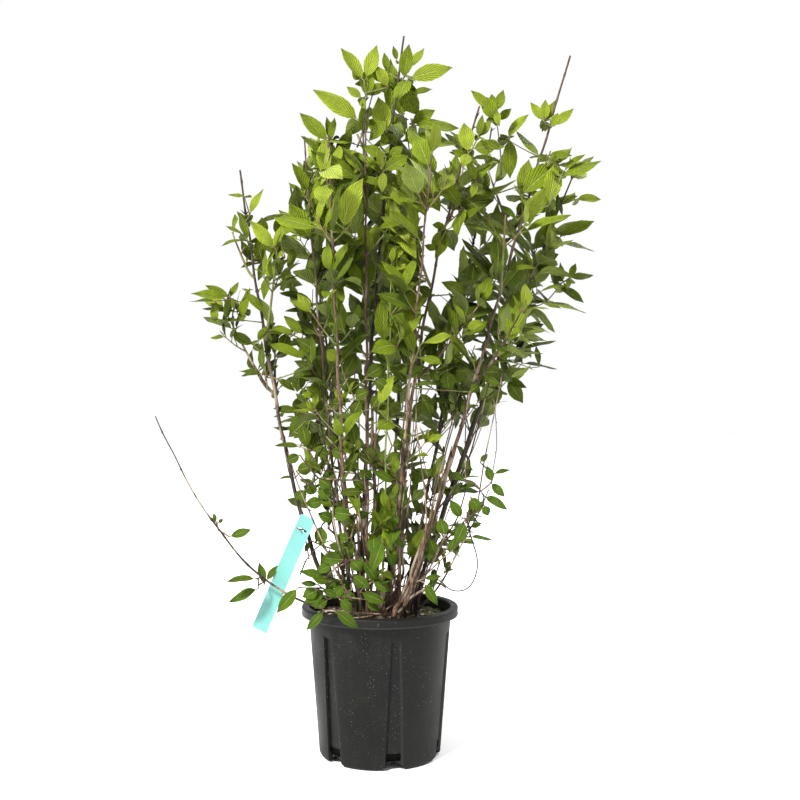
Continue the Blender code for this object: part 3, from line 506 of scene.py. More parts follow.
# Thin bare stems that cross between the canes: depth, thickness, bark, and the photograph's
# columns and rows from the foot up
THIN_STEMS = (
    (-0.125, 0.0015, "dark", ((357, 148), (361, 138), (366, 120), (370, 104), (374, 91))),
    (-0.030, 0.0012, "dark", ((412, 178), (410, 160), (408, 140), (406, 118))),
    (-0.100, 0.0012, "dark", ((501, 176), (500, 150), (498, 134), (496, 120))),
    (-0.060, 0.0016, "tan", ((352, 619), (370, 617), (385, 611), (400, 600), (412, 587), (426, 575),
        (441, 560), (452, 551), (462, 541))),
    (-0.052, 0.0013, "dark", ((428, 566), (444, 540), (458, 518), (466, 490), (465, 450),
        (466, 415), (470, 388))),
    (-0.030, 0.0016, "dark", ((436, 512), (452, 492), (470, 456), (482, 412), (490, 378))),
    (-0.070, 0.0012, "dark", ((466, 530), (478, 503), (484, 462), (493, 420), (500, 386),
        (504, 362))),
    (-0.068, 0.0007, "dark", ((492, 476), (497, 448), (496, 420), (493, 392), (496, 370))),
    (-0.075, 0.0010, "dark", ((420, 462), (438, 439), (456, 421), (474, 404))),
    (-0.075, 0.0010, "dark", ((432, 492), (426, 470), (420, 446), (413, 428))),
    (0.030, 0.0012, "dark", ((309, 560), (304, 530), (298, 502), (289, 474), (284, 448))),
    (-0.070, 0.0016, "tan", ((352, 602), (334, 568), (322, 541), (308, 509), (296, 480),
        (288, 452))),
    (-0.085, 0.0019, "dark", ((362, 600), (350, 575), (338, 545), (332, 512), (340, 470),
        (342, 440), (338, 405))),
    (-0.060, 0.0013, "dark", ((300, 575), (306, 560), (316, 548), (330, 540), (342, 548))),
    (-0.080, 0.0015, "tan", ((404, 604), (420, 560), (427, 520), (424, 486), (419, 450),
        (416, 420))),
    (-0.065, 0.0017, "tan", ((398, 604), (413, 570), (430, 532), (440, 490), (446, 450),
        (458, 410))),
    (-0.055, 0.0014, "dark", ((400, 603), (406, 575), (424, 548), (436, 516), (441, 484),
        (452, 446))),
    (-0.066, 0.0046, "tan", ((393, 618), (396, 608), (403, 598), (410, 586), (415, 573), (421, 556),
        (425, 540))),
    (-0.072, 0.0030, "dark", ((398, 614), (404, 606), (412, 597), (420, 592), (428, 588))),
    (-0.058, 0.0042, "tan", ((380, 614), (381, 604), (384, 594), (382, 584), (379, 576))),
    (-0.070, 0.0022, "tan", ((404, 606), (412, 590), (410, 574), (418, 552), (430, 520), (436, 486),
        (446, 452))),
    (-0.050, 0.0024, "dark", ((388, 612), (396, 592), (404, 574), (402, 552), (408, 524),
        (406, 490), (404, 452))),
)

# Canes that show along their length, between the leaves
SHOWN_CANES = ("west", "west_inner", "centre", "south_mid", "south_east", "east")

# Canes with thin bare ones beside them
ACCOMPANIED = (
    "south_east", "south_mid", "east", "south", "centre", "east_low", "west_inner", "east_wide",
    "north",
)

# Masses whose leaves are all in the sprays, and those that fill the crown's top
PLACED_MASSES = (
    "foliage_far_left_upper", "foliage_far_left_lower", "foliage_rim_spray", "foliage_right_sprig",
)
DENSE_MASSES = (
    "foliage_centre_left", "foliage_centre_top", "foliage_centre_right", "foliage_south_mid",
    "foliage_north_mid",
)

# Leaf tints from the young tips down to the shaded foot, the light that the upper ones need,
# and the height under which leaves are low ones
TINTS = ("young", "bright", "crown", "shade", "low")
LIGHT_STEPS = (("young", 1.06), ("bright", 0.76), ("crown", 0.40))
LOW_LEAVES_TO = 0.46


# Settings that a user would change

def colour_setting(name, description, default):
    """A colour that a user may change."""
    return FloatVectorProperty(
        name=name, description=description, subtype="COLOR", size=3, min=0.0, max=1.0,
        default=default)


class PotSettings(bpy.types.PropertyGroup):
    """Colours of the nursery pot and what fills it."""

    plastic: colour_setting("Pot plastic", "Colour of the black plastic", (0.0034, 0.0036, 0.0038))
    # Its dust colour also paints the highlight lines on the pot.
    dust: colour_setting("Dust", "Colour of the dust and water marks", (0.022, 0.022, 0.020))
    mix: colour_setting("Potting mix", "Colour of the moist bark mix", (0.014, 0.011, 0.006))
    chips: IntProperty(
        name="Bark chips", description="Number of chips that lie on the mix",
        min=0, max=3000, default=1500)
    perlite: IntProperty(
        name="Perlite", description="Number of white grains on the mix",
        min=0, max=500, default=150)


class WoodSettings(bpy.types.PropertyGroup):
    """Colours and relief of canes and twigs."""

    tan: colour_setting("Tan bark", "Colour of the lit tan canes", (0.110, 0.066, 0.040))
    dark: colour_setting("Dark bark", "Colour of the darker canes", (0.027, 0.017, 0.012))
    green: colour_setting("Young bark", "Colour of the young green shoot", (0.130, 0.180, 0.038))
    petiole: colour_setting("Leaf stalks", "Colour of the leaf stalks", (0.110, 0.125, 0.026))
    blush: colour_setting("Blush", "Colour of the blush at young nodes", (0.160, 0.050, 0.036))
    companions: IntProperty(
        name="Thin canes", description="Number of thin bare canes that run beside the main ones",
        min=0, max=60, default=20)


class LeafSettings(bpy.types.PropertyGroup):
    """Size, form and tints of the leaves."""

    length: FloatProperty(
        name="Leaf length", description="Length of a full-grown crown leaf", subtype="DISTANCE",
        unit="LENGTH", min=0.02, max=0.15, default=0.081)
    width: FloatProperty(
        name="Leaf width", description="Width of a leaf over its length",
        min=0.2, max=0.8, default=0.41)
    young: colour_setting("Young leaves", "Tint of leaves at the shoot tips", (0.236, 0.290, 0.040))
    bright: colour_setting("Top leaves", "Tint of leaves high in the crown", (0.198, 0.254, 0.014))
    crown: colour_setting("Crown leaves", "Tint of leaves in the crown", (0.120, 0.172, 0.003))
    shade: colour_setting("Shade leaves", "Tint of leaves below the crown", (0.058, 0.092, 0.002))
    low: colour_setting("Low leaves", "Tint of leaves near the pot", (0.056, 0.110, 0.002))


class StageSettings(bpy.types.PropertyGroup):
    """Studio light and floor."""

    key: FloatProperty(
        name="Key light", description="Power of the main soft light", subtype="POWER",
        unit="POWER", min=0.0, max=5000.0, default=1440.0)
    fill: FloatProperty(
        name="Fill light", description="Strength of the light from all round",
        min=0.0, max=3.0, default=1.0)


# Shader nodes

class Value:
    """A shader socket in Python arithmetic: each operator adds a Math node."""

    def __init__(self, finish, socket):
        self.finish = finish
        self.socket = socket

    def math(self, operation, *values):
        return self.finish.node("ShaderNodeMath", {"operation": operation}, dict(enumerate(values)))

    def __add__(self, other):
        return self.math("ADD", self, other)

    def __sub__(self, other):
        return self.math("SUBTRACT", self, other)

    def __rsub__(self, other):
        return self.math("SUBTRACT", other, self)

    def __mul__(self, other):
        return self.math("MULTIPLY", self, other)

    __radd__ = __add__
    __rmul__ = __mul__

    def size(self):
        return self.math("ABSOLUTE", self)

    def fraction(self):
        return self.math("FRACT", self)

    def above(self, low, high):
        """0 under low and 1 over high, or the other way round where high is the less."""
        settings = {"interpolation_type": "SMOOTHSTEP"}
        inputs = {"Value": self, "From Min": low, "From Max": high}
        return self.finish.node("ShaderNodeMapRange", settings, inputs)


class Finish:
    """A Principled material. One method makes its nodes, and feed links what varies."""

    def __init__(self, name, colour, roughness, **constants):
        self.material = bpy.data.materials.new(name)
        self.material.use_nodes = True
        self.tree = self.material.node_tree
        self.shader = self.tree.nodes["Principled BSDF"]
        self.material.diffuse_color = (*colour, 1.0)
        self.feed("Base Color", (*colour, 1.0))
        self.feed("Roughness", roughness)
        for socket, value in constants.items():
            self.feed(socket.replace("_", " "), value)

    def node(self, kind, settings=None, inputs=None, output=0):
        """A node: its settings are set first, then its sockets' values or links."""
        made = self.tree.nodes.new(kind)
        for name, value in (settings or {}).items():
            setattr(made, name, value)
        for name, value in (inputs or {}).items():
            self.join(made.inputs[name], value)
        return Value(self, made.outputs[output])

    def join(self, socket, value):
        if isinstance(value, Value):
            self.tree.links.new(value.socket, socket)
        else:
            socket.default_value = value

    def feed(self, name, value):
        self.join(self.shader.inputs[name], value)

    def place(self, scale=(1.0, 1.0, 1.0)):
        """Object coordinates, stretched."""
        source = self.node("ShaderNodeTexCoord", output="Object")
        return self.node("ShaderNodeMapping", inputs={"Vector": source, "Scale": scale})

    def axes(self, source=None):
        """The three parts of a vector, or else of the place on the object."""
        split = self.node("ShaderNodeSeparateXYZ", inputs={"Vector": source or self.place()})
        return [Value(self, output) for output in split.socket.node.outputs]

    def noise(self, scale, detail=3.0, stretch=(1.0, 1.0, 1.0)):
        inputs = {"Vector": self.place(stretch), "Scale": scale, "Detail": detail}
        inputs["Roughness"] = NOISE_ROUGHNESS
        return self.node("ShaderNodeTexNoise", inputs=inputs)

    def cells(self, scale, stretch=(1.0, 1.0, 1.0)):
        """Distance to the nearest point of scattered points."""
        inputs = {"Vector": self.place(stretch), "Scale": scale}
        return self.node("ShaderNodeTexVoronoi", inputs=inputs)

    def paint(self, tone, *layers):
        """Base colour: each layer is a mask and the colour that it lays over what is below."""
        tone = (*tone, 1.0)
        for mask, colour in layers:
            settings = {"data_type": "RGBA", "clamp_factor": True}
            inputs = {0: mask, 6: tone, 7: (*colour, 1.0)}
            tone = self.node("ShaderNodeMix", settings, inputs, output=2)
        self.feed("Base Color", tone)

    def bump(self, height, depth, strength):
        inputs = {"Height": height, "Distance": depth, "Strength": strength}
        self.feed("Normal", self.node("ShaderNodeBump", inputs=inputs))


def shaded(colour, factor):
    """The colour, darker or lighter by a factor."""
    return tuple(min(channel * factor, 1.0) for channel in colour)


def toward(colour, other, share):
    """A colour part of the way to another."""
    return tuple(a + (b - a) * share for a, b in zip(colour, other))


def bark_finish(name, colour):
    """Thin striped bark: pale peeling streaks, dark grooves and small pores."""
    finish = Finish(name, colour, 0.72, Specular_IOR_Level=0.35)
    grain = finish.noise(620.0, 4.0, (1.0, 1.0, 0.07))
    patches = finish.noise(34.0, 3.0, (1.0, 1.0, 0.45))
    pores = finish.cells(420.0, (1.0, 1.0, 0.30)).above(0.20, 0.06)
    height = finish.axes()[2]
    finish.paint(
        shaded(colour, 0.30),
        (grain.above(0.40, 0.60), shaded(colour, 1.6)),
        (patches.above(0.53, 0.62) * 0.8, toward(colour, (0.42, 0.34, 0.25), 0.60)),
        (patches.above(0.47, 0.36) * 0.8, shaded(colour, 0.30)),
        (height.above(0.50, 0.90) * 0.6, (0.030, 0.019, 0.016)),
        (pores * 0.45, shaded(colour, 0.25)))
    finish.feed("Roughness", 0.60 + grain * 0.25)
    finish.bump(grain + patches * 0.6 - pores * 0.5, 0.0005, 0.8)
    return finish.material


def young_bark_finish(name, colour, blush_colour):
    """Soft green bark of this year's growth, blushed and faintly striped."""
    finish = Finish(name, colour, 0.55, Specular_IOR_Level=0.35)
    grain = finish.noise(500.0, 3.0, (1.0, 1.0, 0.10))
    blush = finish.noise(22.0, 2.0)
    finish.paint(
        shaded(colour, 0.78),
        (grain.above(0.35, 0.65), shaded(colour, 1.15)),
        (blush.above(0.46, 0.64) * 0.6, blush_colour))
    finish.bump(grain, 0.0003, 0.5)
    return finish.material


def leaf_finish(name, colour, under):
    """Quilted blade: sunk veins that curve to the tip, painted shade in their grooves, a pale
    midrib, mottled green between.
    """
    finish = Finish(name, colour, 0.5, Specular_IOR_Level=0.12 if under else 0.15)
    chart = finish.node("ShaderNodeUVMap", {"uv_map": "blade"})
    along, side, _ = finish.axes(chart)
    out = (side - 0.5).size() * 2.0
    rank = (along * 7.5 - out * (4.4 - out * 0.9)).fraction()
    vein = (rank - 0.5).size().above(0.13, 0.0) * out.above(1.02, 0.86)
    midrib = out.above(0.075, 0.03)
    mottle = finish.noise(85.0, 3.0)
    dapple = finish.noise(17.0, 2.0)
    # Painted shade: a dark band beside each vein stands for the shadow in its sunk groove.
    vein_shade = (rank - 0.62).size().above(0.26, 0.06) * out.above(1.02, 0.86)
    pale = toward(colour, (0.38, 0.42, 0.09), 0.45 if under else 0.34)
    finish.paint(
        shaded(colour, 0.84),
        (mottle.above(0.30, 0.72), shaded(colour, 1.14)),
        (dapple.above(0.45, 0.72) * 0.6, shaded(colour, 0.62)),
        (dapple.above(0.46, 0.28) * 0.5, shaded(colour, 1.35)),
        (vein_shade * (0.25 if under else 0.60), shaded(colour, 0.46)),
        (vein * (0.50 if under else 0.45), pale),
        (midrib * 0.7, toward(pale, (0.42, 0.45, 0.18), 0.35)),
        (out.above(0.86, 1.0) * 0.25, shaded(colour, 1.2)))
    finish.feed("Roughness", (0.56 if under else 0.48) + mottle * 0.25)
    lift = -1.0 if under else 1.0
    quilt = (rank - 0.5).size().above(0.0, 0.36)
    finish.bump((quilt - midrib * 1.2) * lift, 0.0012, 1.0)
    return finish.material


def plastic_finish(name, colour, dust):
    """Black moulded plastic with flow marks, dusty low places, white specks, and painted shadow and
    highlight lines along the flutes and under the rim.
    """
    finish = Finish(name, colour, 0.5, Specular_IOR_Level=0.14)
    clouds = finish.noise(9.0, 4.0)
    streaks = finish.noise(60.0, 3.0, (1.0, 1.0, 0.06))
    scuffs = finish.noise(75.0, 4.0, (1.0, 1.0, 5.0))
    across, deep, height = finish.axes()
    round_pot = (across.math("ARCTAN2", deep, across) - FLUTE_TURN) * (FLUTES / TURN) + 0.5
    offset = (round_pot.fraction() - 0.5) * (TURN / FLUTES)
    half = FLUTE_HALF_FOOT - height * ((FLUTE_HALF_FOOT - FLUTE_HALF_TOP) / FLUTE_TOP)
    fluted = height.above(FLUTE_TOP, FLUTE_TOP - FLUTE_FADE)
    near = offset.size().above(0.20, 0.10) * fluted
    # Painted shadow: a dark line down the left edge of each flute, the side turned from the key
    # light.
    flute_shadow = (offset + half).size().above(0.020, 0.006) * fluted
    # Painted highlights: a pale line down the right edge of each flute and one along the lower edge
    # of the rim's lip, in the dust colour.
    flute_highlight = (offset - half - FLUTE_EDGE).size().above(0.022, 0.004) * fluted
    rim_highlight = (height - POT_HEIGHT + LIP_HEIGHT - 0.001).size().above(0.0016, 0.0006)
    dusty = (finish.noise(30.0) + near * 0.10).above(0.47, 0.57)
    specks = finish.cells(230.0).above(0.14, 0.05) * dusty
    gritty = (finish.noise(48.0) + near * 0.10).above(0.47, 0.58)
    grit = finish.cells(420.0).above(0.24, 0.06) * gritty
    film = clouds.above(0.42, 0.72) * 0.34 + streaks.above(0.52, 0.72) * 0.20
    film = film + height.above(0.055, 0.0) * 0.22 + scuffs.above(0.60, 0.74) * 0.15
    finish.paint(
        colour,
        (film * 0.55, dust),
        (clouds.above(0.46, 0.34) * 0.4, (0.0070, 0.0080, 0.0045)),
        # Painted highlight lines, then the painted shadow line of the flutes.
        (flute_highlight * 0.45 + rim_highlight * 0.7, dust),
        (flute_shadow * 0.85, shaded(colour, 0.25)),
        (grit * 0.6, (0.070, 0.080, 0.072)),
        (specks * 0.85, (0.20, 0.21, 0.20)))
    finish.feed("Roughness", 0.44 + film * 0.45)
    finish.bump(scuffs * 0.4 + streaks * 0.3 + specks * 0.8, 0.0004, 0.6)
    return finish.material


def soil_finish(name, colour):
    """Moist crumbly mix, from near black to brown, with painted shade that turns it near black low
    in the pot.
    """
    finish = Finish(name, colour, 0.92, Specular_IOR_Level=0.12)
    lumps = finish.noise(150.0, 5.0)
    fine = finish.noise(900.0, 3.0)
    height = finish.axes()[2]
    finish.paint(
        shaded(colour, 0.45),
        (lumps.above(0.35, 0.70), shaded(colour, 2.1)),
        (fine.above(0.64, 0.74) * 0.4, shaded(colour, 3.2)),
        # Painted shade: low in the pot the mix turns near black, the dark inside that shows through
        # the drain holes.
        (height.above(0.10, 0.05) * 0.95, (0.0012, 0.0010, 0.0008)))
    finish.bump(lumps + fine * 0.4, 0.002, 0.9)
    return finish.material


def grain_finish(name, colour, roughness):
    """Small solid things: chips, grains and flakes, each a little different by place."""
    finish = Finish(name, colour, roughness)
    patch = finish.noise(140.0, 2.0)
    fine = finish.noise(1100.0, 3.0)
    finish.paint(
        shaded(colour, 0.60),
        (patch.above(0.35, 0.65), shaded(colour, 1.5)),
        (fine.above(0.40, 0.70) * 0.4, shaded(colour, 0.6)))
    finish.bump(fine, 0.0004, 0.6)
    return finish.material


def cut_wood_finish(name, colour):
    """Weathered end grain and torn fibres."""
    finish = Finish(name, colour, 0.85)
    rings = finish.noise(700.0, 3.0)
    finish.paint(shaded(colour, 0.55), (rings.above(0.35, 0.68), colour))
    finish.bump(rings, 0.0004, 0.7)
    return finish.material


def label_finish(name, colour):
    """Thin satin plastic with faint handling creases, painted shade in the creases, and a little
    soil splashed on it.
    """
    finish = Finish(name, colour, 0.42, Specular_IOR_Level=0.45)
    creases = finish.noise(24.0, 4.0, (1.0, 1.0, 0.35))
    worn = finish.noise(17.0, 3.0)
    splash = finish.cells(260.0).above(0.12, 0.04) * finish.noise(34.0).above(0.55, 0.63)
    finish.paint(
        colour,
        (worn.above(0.50, 0.66) * 0.8, toward(colour, (0.30, 0.38, 0.38), 0.30)),
        (worn.above(0.46, 0.32) * 0.7, (0.102, 0.335, 0.265)),
        # Painted shade: the creases are darkened.
        (creases.above(0.44, 0.70) * 0.6, shaded(colour, 0.84)),
        (splash * 0.5, (0.22, 0.20, 0.15)))
    finish.feed("Roughness", 0.36 + creases * 0.20)
    finish.bump(creases, 0.0006, 0.25)
    return finish.material


# Pieces

def show(name, data):
    """A new object in the scene."""
    obj = bpy.data.objects.new(name, data)
    bpy.context.scene.collection.objects.link(obj)
    return obj


def add_piece(name, mesh, materials, replaced=()):
    """Put a mesh in the scene as a piece of the object."""
    obj = show(name, mesh)
    for material in materials:
        mesh.materials.append(material)
    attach(obj, "root")
    if replaced:
        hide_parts(*replaced)


def mesh_of(bm, name, smooth=True):
    mesh = bpy.data.meshes.new(name)
    bm.to_mesh(mesh)
    bm.free()
    if smooth:
        mesh.shade_smooth()
    return mesh


class Bundle:
    """Corners and faces of many small things, gathered for one joined mesh."""

    def __init__(self):
        self.points = []
        self.faces = []

    def tube(self, path, radii, sides):
        """A closed tapering tube along a run of points."""
        first = len(self.points)
        heading = UP
        across = Vector((1.0, 0.0, 0.0))
        for i, (point, radius) in enumerate(zip(path, radii)):
            ahead = (path[min(i + 1, len(path) - 1)] - path[max(i - 1, 0)]).normalized()
            across = heading.rotation_difference(ahead) @ across
            heading = ahead
            beside = heading.cross(across)
            for k in range(sides):
                angle = TURN * k / sides
                out = across * math.cos(angle) + beside * math.sin(angle)
                self.points.append(point + out * radius)
        for i in range(len(path) - 1):
            ring = first + i * sides
            for k in range(sides):
                after = (k + 1) % sides
                self.faces.append((ring + k, ring + after, ring + sides + after, ring + sides + k))
        self.faces.append(tuple(reversed(range(first, first + sides))))
        last = first + (len(path) - 1) * sides
        self.faces.append(tuple(range(last, last + sides)))

    def spur(self, root, reach, radii, sides=5, bend=0.6):
        """A short tapering stub, its middle ring at the share bend of its reach."""
        self.tube([root, root + reach * bend, root + reach], radii, sides)

    def solid(self, corners, faces, place):
        """A copy of a small solid, moved to its place."""
        first = len(self.points)
        self.points += [place @ corner for corner in corners]
        self.faces += [tuple(first + index for index in face) for face in faces]

    def piece(self, name, material, slot, replaced=()):
        """All that was gathered, as one piece."""
        mesh = bpy.data.meshes.new(name)
        mesh.from_pydata(self.points, [], self.faces)
        mesh.shade_smooth()
        add_piece(name, mesh, [material], replaced)


def ray(angle, rise=0.0):
    """A level direction at an angle round the pot's axis, or one that also rises."""
    return Vector((math.cos(angle), math.sin(angle), rise))


def taper(thick, loss, steps):
    """Radii that shrink evenly and lose a share of the first one."""
    return [thick * (1.0 - loss * k / steps) for k in range(steps + 1)]


def sideways(ahead, turn):
    """A direction square to a run, turned about it."""
    return Matrix.Rotation(turn, 3, ahead) @ ahead.orthogonal().normalized()


def grow_limb(points, radii, sides, relief):
    """A limb extruded ring by ring; relief gives a ring's swelling at each side."""
    bm = bmesh.new()
    bmesh.ops.create_circle(bm, cap_ends=True, segments=sides, radius=1.0)
    ring = [vert.co.copy() for vert in bm.verts]
    face = bm.faces[:][0]
    order = [list(bm.verts).index(vert) for vert in face.verts]
    heading = UP
    turn = Matrix.Identity(3)
    for i, (point, radius) in enumerate(zip(points, radii)):
        if i:
            grown = bmesh.ops.extrude_face_region(bm, geom=[face])["geom"]
            if i > 1:
                bmesh.ops.delete(bm, geom=[face], context="FACES_ONLY")
            face = next(item for item in grown if isinstance(item, bmesh.types.BMFace))
        ahead = (points[min(i + 1, len(points) - 1)] - points[max(i - 1, 0)]).normalized()
        turn = heading.rotation_difference(ahead).to_matrix() @ turn
        heading = ahead
        for vert, place in zip(face.verts, order):
            vert.co = point + turn @ (ring[place] * radius * relief(i, place))
    bmesh.ops.recalc_face_normals(bm, faces=bm.faces)
    return bm


# Nursery pot

def flute_angle(index):
    """Angle of a flute's middle round the pot."""
    return FLUTE_TURN + index * TURN / FLUTES


def wall_radius(height):
    """Outer radius of the pot's tapering wall."""
    share = (height - CORNER) / (POT_HEIGHT - CORNER)
    return BASE_RADIUS + (WALL_TOP_RADIUS - BASE_RADIUS) * share


def flute_columns(height):
    """Angles of one panel's columns from its flute's middle, and how deep each is pressed."""
    share = min(max(height / FLUTE_TOP, 0.0), 1.0)
    half = FLUTE_HALF_FOOT + (FLUTE_HALF_TOP - FLUTE_HALF_FOOT) * share
    flute = [(-half - FLUTE_EDGE, 0.0), (-half - 0.6 * FLUTE_EDGE, 0.25), (-half, 1.0)]
    flute += [(-0.4 * half, 1.0), (0.3 * half, 0.96), (half, 0.82)]
    flute += [(half + FLUTE_EDGE, 0.45), (half + 2.2 * FLUTE_EDGE, 0.12)]
    flute += [(half + 3.4 * FLUTE_EDGE, 0.0)]
    start = flute[-1][0]
    stop = TURN / FLUTES - half - FLUTE_EDGE
    plain = PANEL_COLUMNS - len(flute)
    return flute + [(start + (stop - start) * (i + 1) / (plain + 1), 0.0) for i in range(plain)]


def arc(centre, radius, start, stop, steps):
    """Points of a rounded corner in the pot's section, angles in degrees."""
    angles = [math.radians(start + (stop - start) * i / steps) for i in range(steps + 1)]
    return [(centre[0] + radius * math.cos(a), centre[1] + radius * math.sin(a)) for a in angles]


def pot_section():
    """Section of the pot's wall, from the middle of its raised floor over the rim and down."""
    low = [0.020 + (FLUTE_TOP - 0.020) * i / 10 for i in range(11)]
    neck = [FLUTE_TOP - FLUTE_FADE * i / 5 for i in range(6)]
    heights = sorted(set(low[:-1] + neck + [0.214, *BEAD_HEIGHTS, 0.230]))
    wall_top = POT_HEIGHT - WALL - LIP_EDGE
    floor_top = RAISED_FLOOR + WALL
    bend = heights[0] - floor_top
    section = [(0.0, floor_top), (FLOOR_PLAIN, floor_top)]
    section += arc((wall_radius(heights[0]) - WALL - bend, heights[0]), bend, -90, 0, 4)
    section += [(wall_radius(z) - WALL, z) for z in heights[1:]]
    inner = wall_radius(POT_HEIGHT) - WALL
    section += [(inner, POT_HEIGHT - LIP_EDGE)]
    section += arc((inner + INNER_EDGE, POT_HEIGHT - INNER_EDGE), INNER_EDGE, 180, 90, 3)
    section += arc((RIM_RADIUS - LIP_EDGE, POT_HEIGHT - LIP_EDGE), LIP_EDGE, 90, 0, 5)
    foot = POT_HEIGHT - LIP_HEIGHT
    section += [(RIM_RADIUS - 0.0004, POT_HEIGHT - 0.008), (RIM_RADIUS, foot + 0.0022)]
    section += arc((RIM_RADIUS - LIP_FOOT_EDGE, foot + LIP_FOOT_EDGE), LIP_FOOT_EDGE, 0, -90, 2)
    section += [(RIM_RADIUS - WALL, foot), (RIM_RADIUS - WALL, wall_top)]
    section += [(wall_radius(wall_top), wall_top)]
    beads = {height: BEAD for height in BEAD_HEIGHTS}
    section += [(wall_radius(z) + beads.get(z, 0.0), z) for z in reversed(heights)]
    section += arc((BASE_RADIUS - CORNER, CORNER), CORNER, 0, -90, 6)
    section += [(BASE_RADIUS - CORNER - WALL, 0.0), (BASE_RADIUS - CORNER + 0.001, RAISED_FLOOR)]
    return section + [(FLOOR_PLAIN, RAISED_FLOOR), (0.0, RAISED_FLOOR)]


def press_flutes(bm):
    """Move the spun columns to the flutes' edges, and press the flutes in."""
    count = FLUTES * PANEL_COLUMNS
    for vert in bm.verts:
        x, y, z = vert.co
        radius = math.hypot(x, y)
        if radius < 1e-5:
            continue
        column = round(math.atan2(y, x) / (TURN / count)) % count
        panel, place = divmod(column, PANEL_COLUMNS)
        offset, depth = flute_columns(z)[place]
        angle = flute_angle(panel) + offset
        fade = min(max((FLUTE_TOP - z) / FLUTE_FADE, 0.0), 1.0)
        fade = fade * fade * (3 - 2 * fade)
        if radius > FLOOR_PLAIN + 0.001:
            radius -= FLUTE_DEPTH * depth * fade
        vert.co = (radius * math.cos(angle), radius * math.sin(angle), z)


def hole_cutter(angle):
    """A box that cuts the drain hole at the foot of a flute."""
    bm = bmesh.new()
    bmesh.ops.create_cube(bm, size=1.0)
    bmesh.ops.scale(bm, vec=DRAIN_HOLE, verts=bm.verts)
    corners = [edge for edge in bm.edges if abs((edge.verts[0].co - edge.verts[1].co).x) > 0.01]
    bmesh.ops.bevel(
        bm, geom=corners, offset=DRAIN_CORNER, offset_type="OFFSET", segments=3, profile=0.5,
        affect="EDGES", material=-1)
    bmesh.ops.translate(bm, vec=(BASE_RADIUS - FLUTE_DEPTH, 0, DRAIN_HEIGHT), verts=bm.verts)
    return place_cutter(bm, angle)


def arch_cutter(angle):
    """A low gable that cuts the wall's edge away between two feet."""
    bm = bmesh.new()
    low = -0.002
    half = FOOT_ARCH_HALF * (1.0 - low / FOOT_ARCH_HEIGHT)
    near = BASE_RADIUS - 0.016
    crest = FOOT_ARCH_CREST
    gable = ((-half, low), (half, low), (crest, FOOT_ARCH_HEIGHT), (-crest, FOOT_ARCH_HEIGHT))
    verts = [bm.verts.new((near, y, z)) for y, z in gable]
    grown = bmesh.ops.extrude_face_region(bm, geom=[bm.faces.new(verts)])["geom"]
    moved = [item for item in grown if isinstance(item, bmesh.types.BMVert)]
    bmesh.ops.translate(bm, vec=(0.030, 0, 0), verts=moved)
    bmesh.ops.recalc_face_normals(bm, faces=bm.faces)
    return place_cutter(bm, angle)


def place_cutter(bm, angle):
    """A cutter turned to its place round the pot's axis."""
    bmesh.ops.rotate(bm, cent=(0, 0, 0), matrix=Matrix.Rotation(angle, 3, "Z"), verts=bm.verts)
    return show("foot_cutter", mesh_of(bm, "foot_cutter", smooth=False))


def cut_all(mesh, cutters):
    """The mesh after each cutter is taken off it. The cutters are removed."""
    host = show("host", mesh)
    for cutter in cutters:
        boolean = host.modifiers.new("Cut", "BOOLEAN")
        boolean.operation = "DIFFERENCE"
        boolean.solver = "EXACT"
        boolean.object = cutter
    bpy.context.view_layer.update()
    graph = bpy.context.evaluated_depsgraph_get()
    made = bpy.data.meshes.new_from_object(host.evaluated_get(graph))
    for obj in (host, *cutters):
        bpy.data.objects.remove(obj)
    return made


def build_pot(settings):
    bm = bmesh.new()
    points = [bm.verts.new((radius, 0.0, height)) for radius, height in pot_section()]
    edges = [bm.edges.new(pair) for pair in zip(points, points[1:])]
    bmesh.ops.spin(
        bm, geom=points + edges, cent=(0, 0, 0), axis=(0, 0, 1), angle=TURN,
        steps=FLUTES * PANEL_COLUMNS, use_merge=True)
    bmesh.ops.remove_doubles(bm, verts=bm.verts, dist=0.00001)
    press_flutes(bm)
    bmesh.ops.recalc_face_normals(bm, faces=bm.faces)
    angles = [flute_angle(i) for i in range(FLUTES)]
    cutters = [cutter(angle) for angle in angles for cutter in (hole_cutter, arch_cutter)]
    mesh = cut_all(mesh_of(bm, "pot"), cutters)
    mesh.set_sharp_from_angle(angle=math.radians(32))
    plastic = plastic_finish("dusty black plastic", settings.plastic, settings.dust)
    add_piece("moulded_pot", mesh, [plastic], ["nursery_pot"])


# Potting mix

def scatter(bundle, solid, count, sizes, flatness, spread, chance, lift):
    """Strew turned copies of a small solid over the mix."""
    for _ in range(count):
        radius = (SOIL_RADIUS - 0.005) * math.sqrt(chance.random())
        angle = chance.uniform(*spread)
        size = chance.uniform(*sizes)
        turn = Matrix.Rotation(chance.uniform(0, 6.3), 4, "Z")
        tip = Matrix.Rotation(chance.gauss(0, 0.35), 4, "X")
        stretch = Matrix.Diagonal((size * chance.uniform(1.0, 2.6), size, size * flatness, 1.0))
        x, y = radius * math.cos(angle), radius * math.sin(angle)
        z = soil_height(x, y) + lift + 0.3 * size * flatness
        bundle.solid(*solid, Matrix.Translation((x, y, z)) @ (turn @ tip) @ stretch)


def soil_height(x, y):
    """The mix lies a little uneven, highest round the woody crown."""
    broad = noise.noise(Vector((x * 45, y * 45, 0.0))) * 0.0022
    fine = noise.noise(Vector((x * 160, y * 160, 4.0))) * 0.0012
    middle = math.exp(-((x - CROWN_CENTRE.x) ** 2 + y ** 2) / 0.0032) * 0.003
    return SOIL_TOP + 0.0015 + (broad + fine) + middle


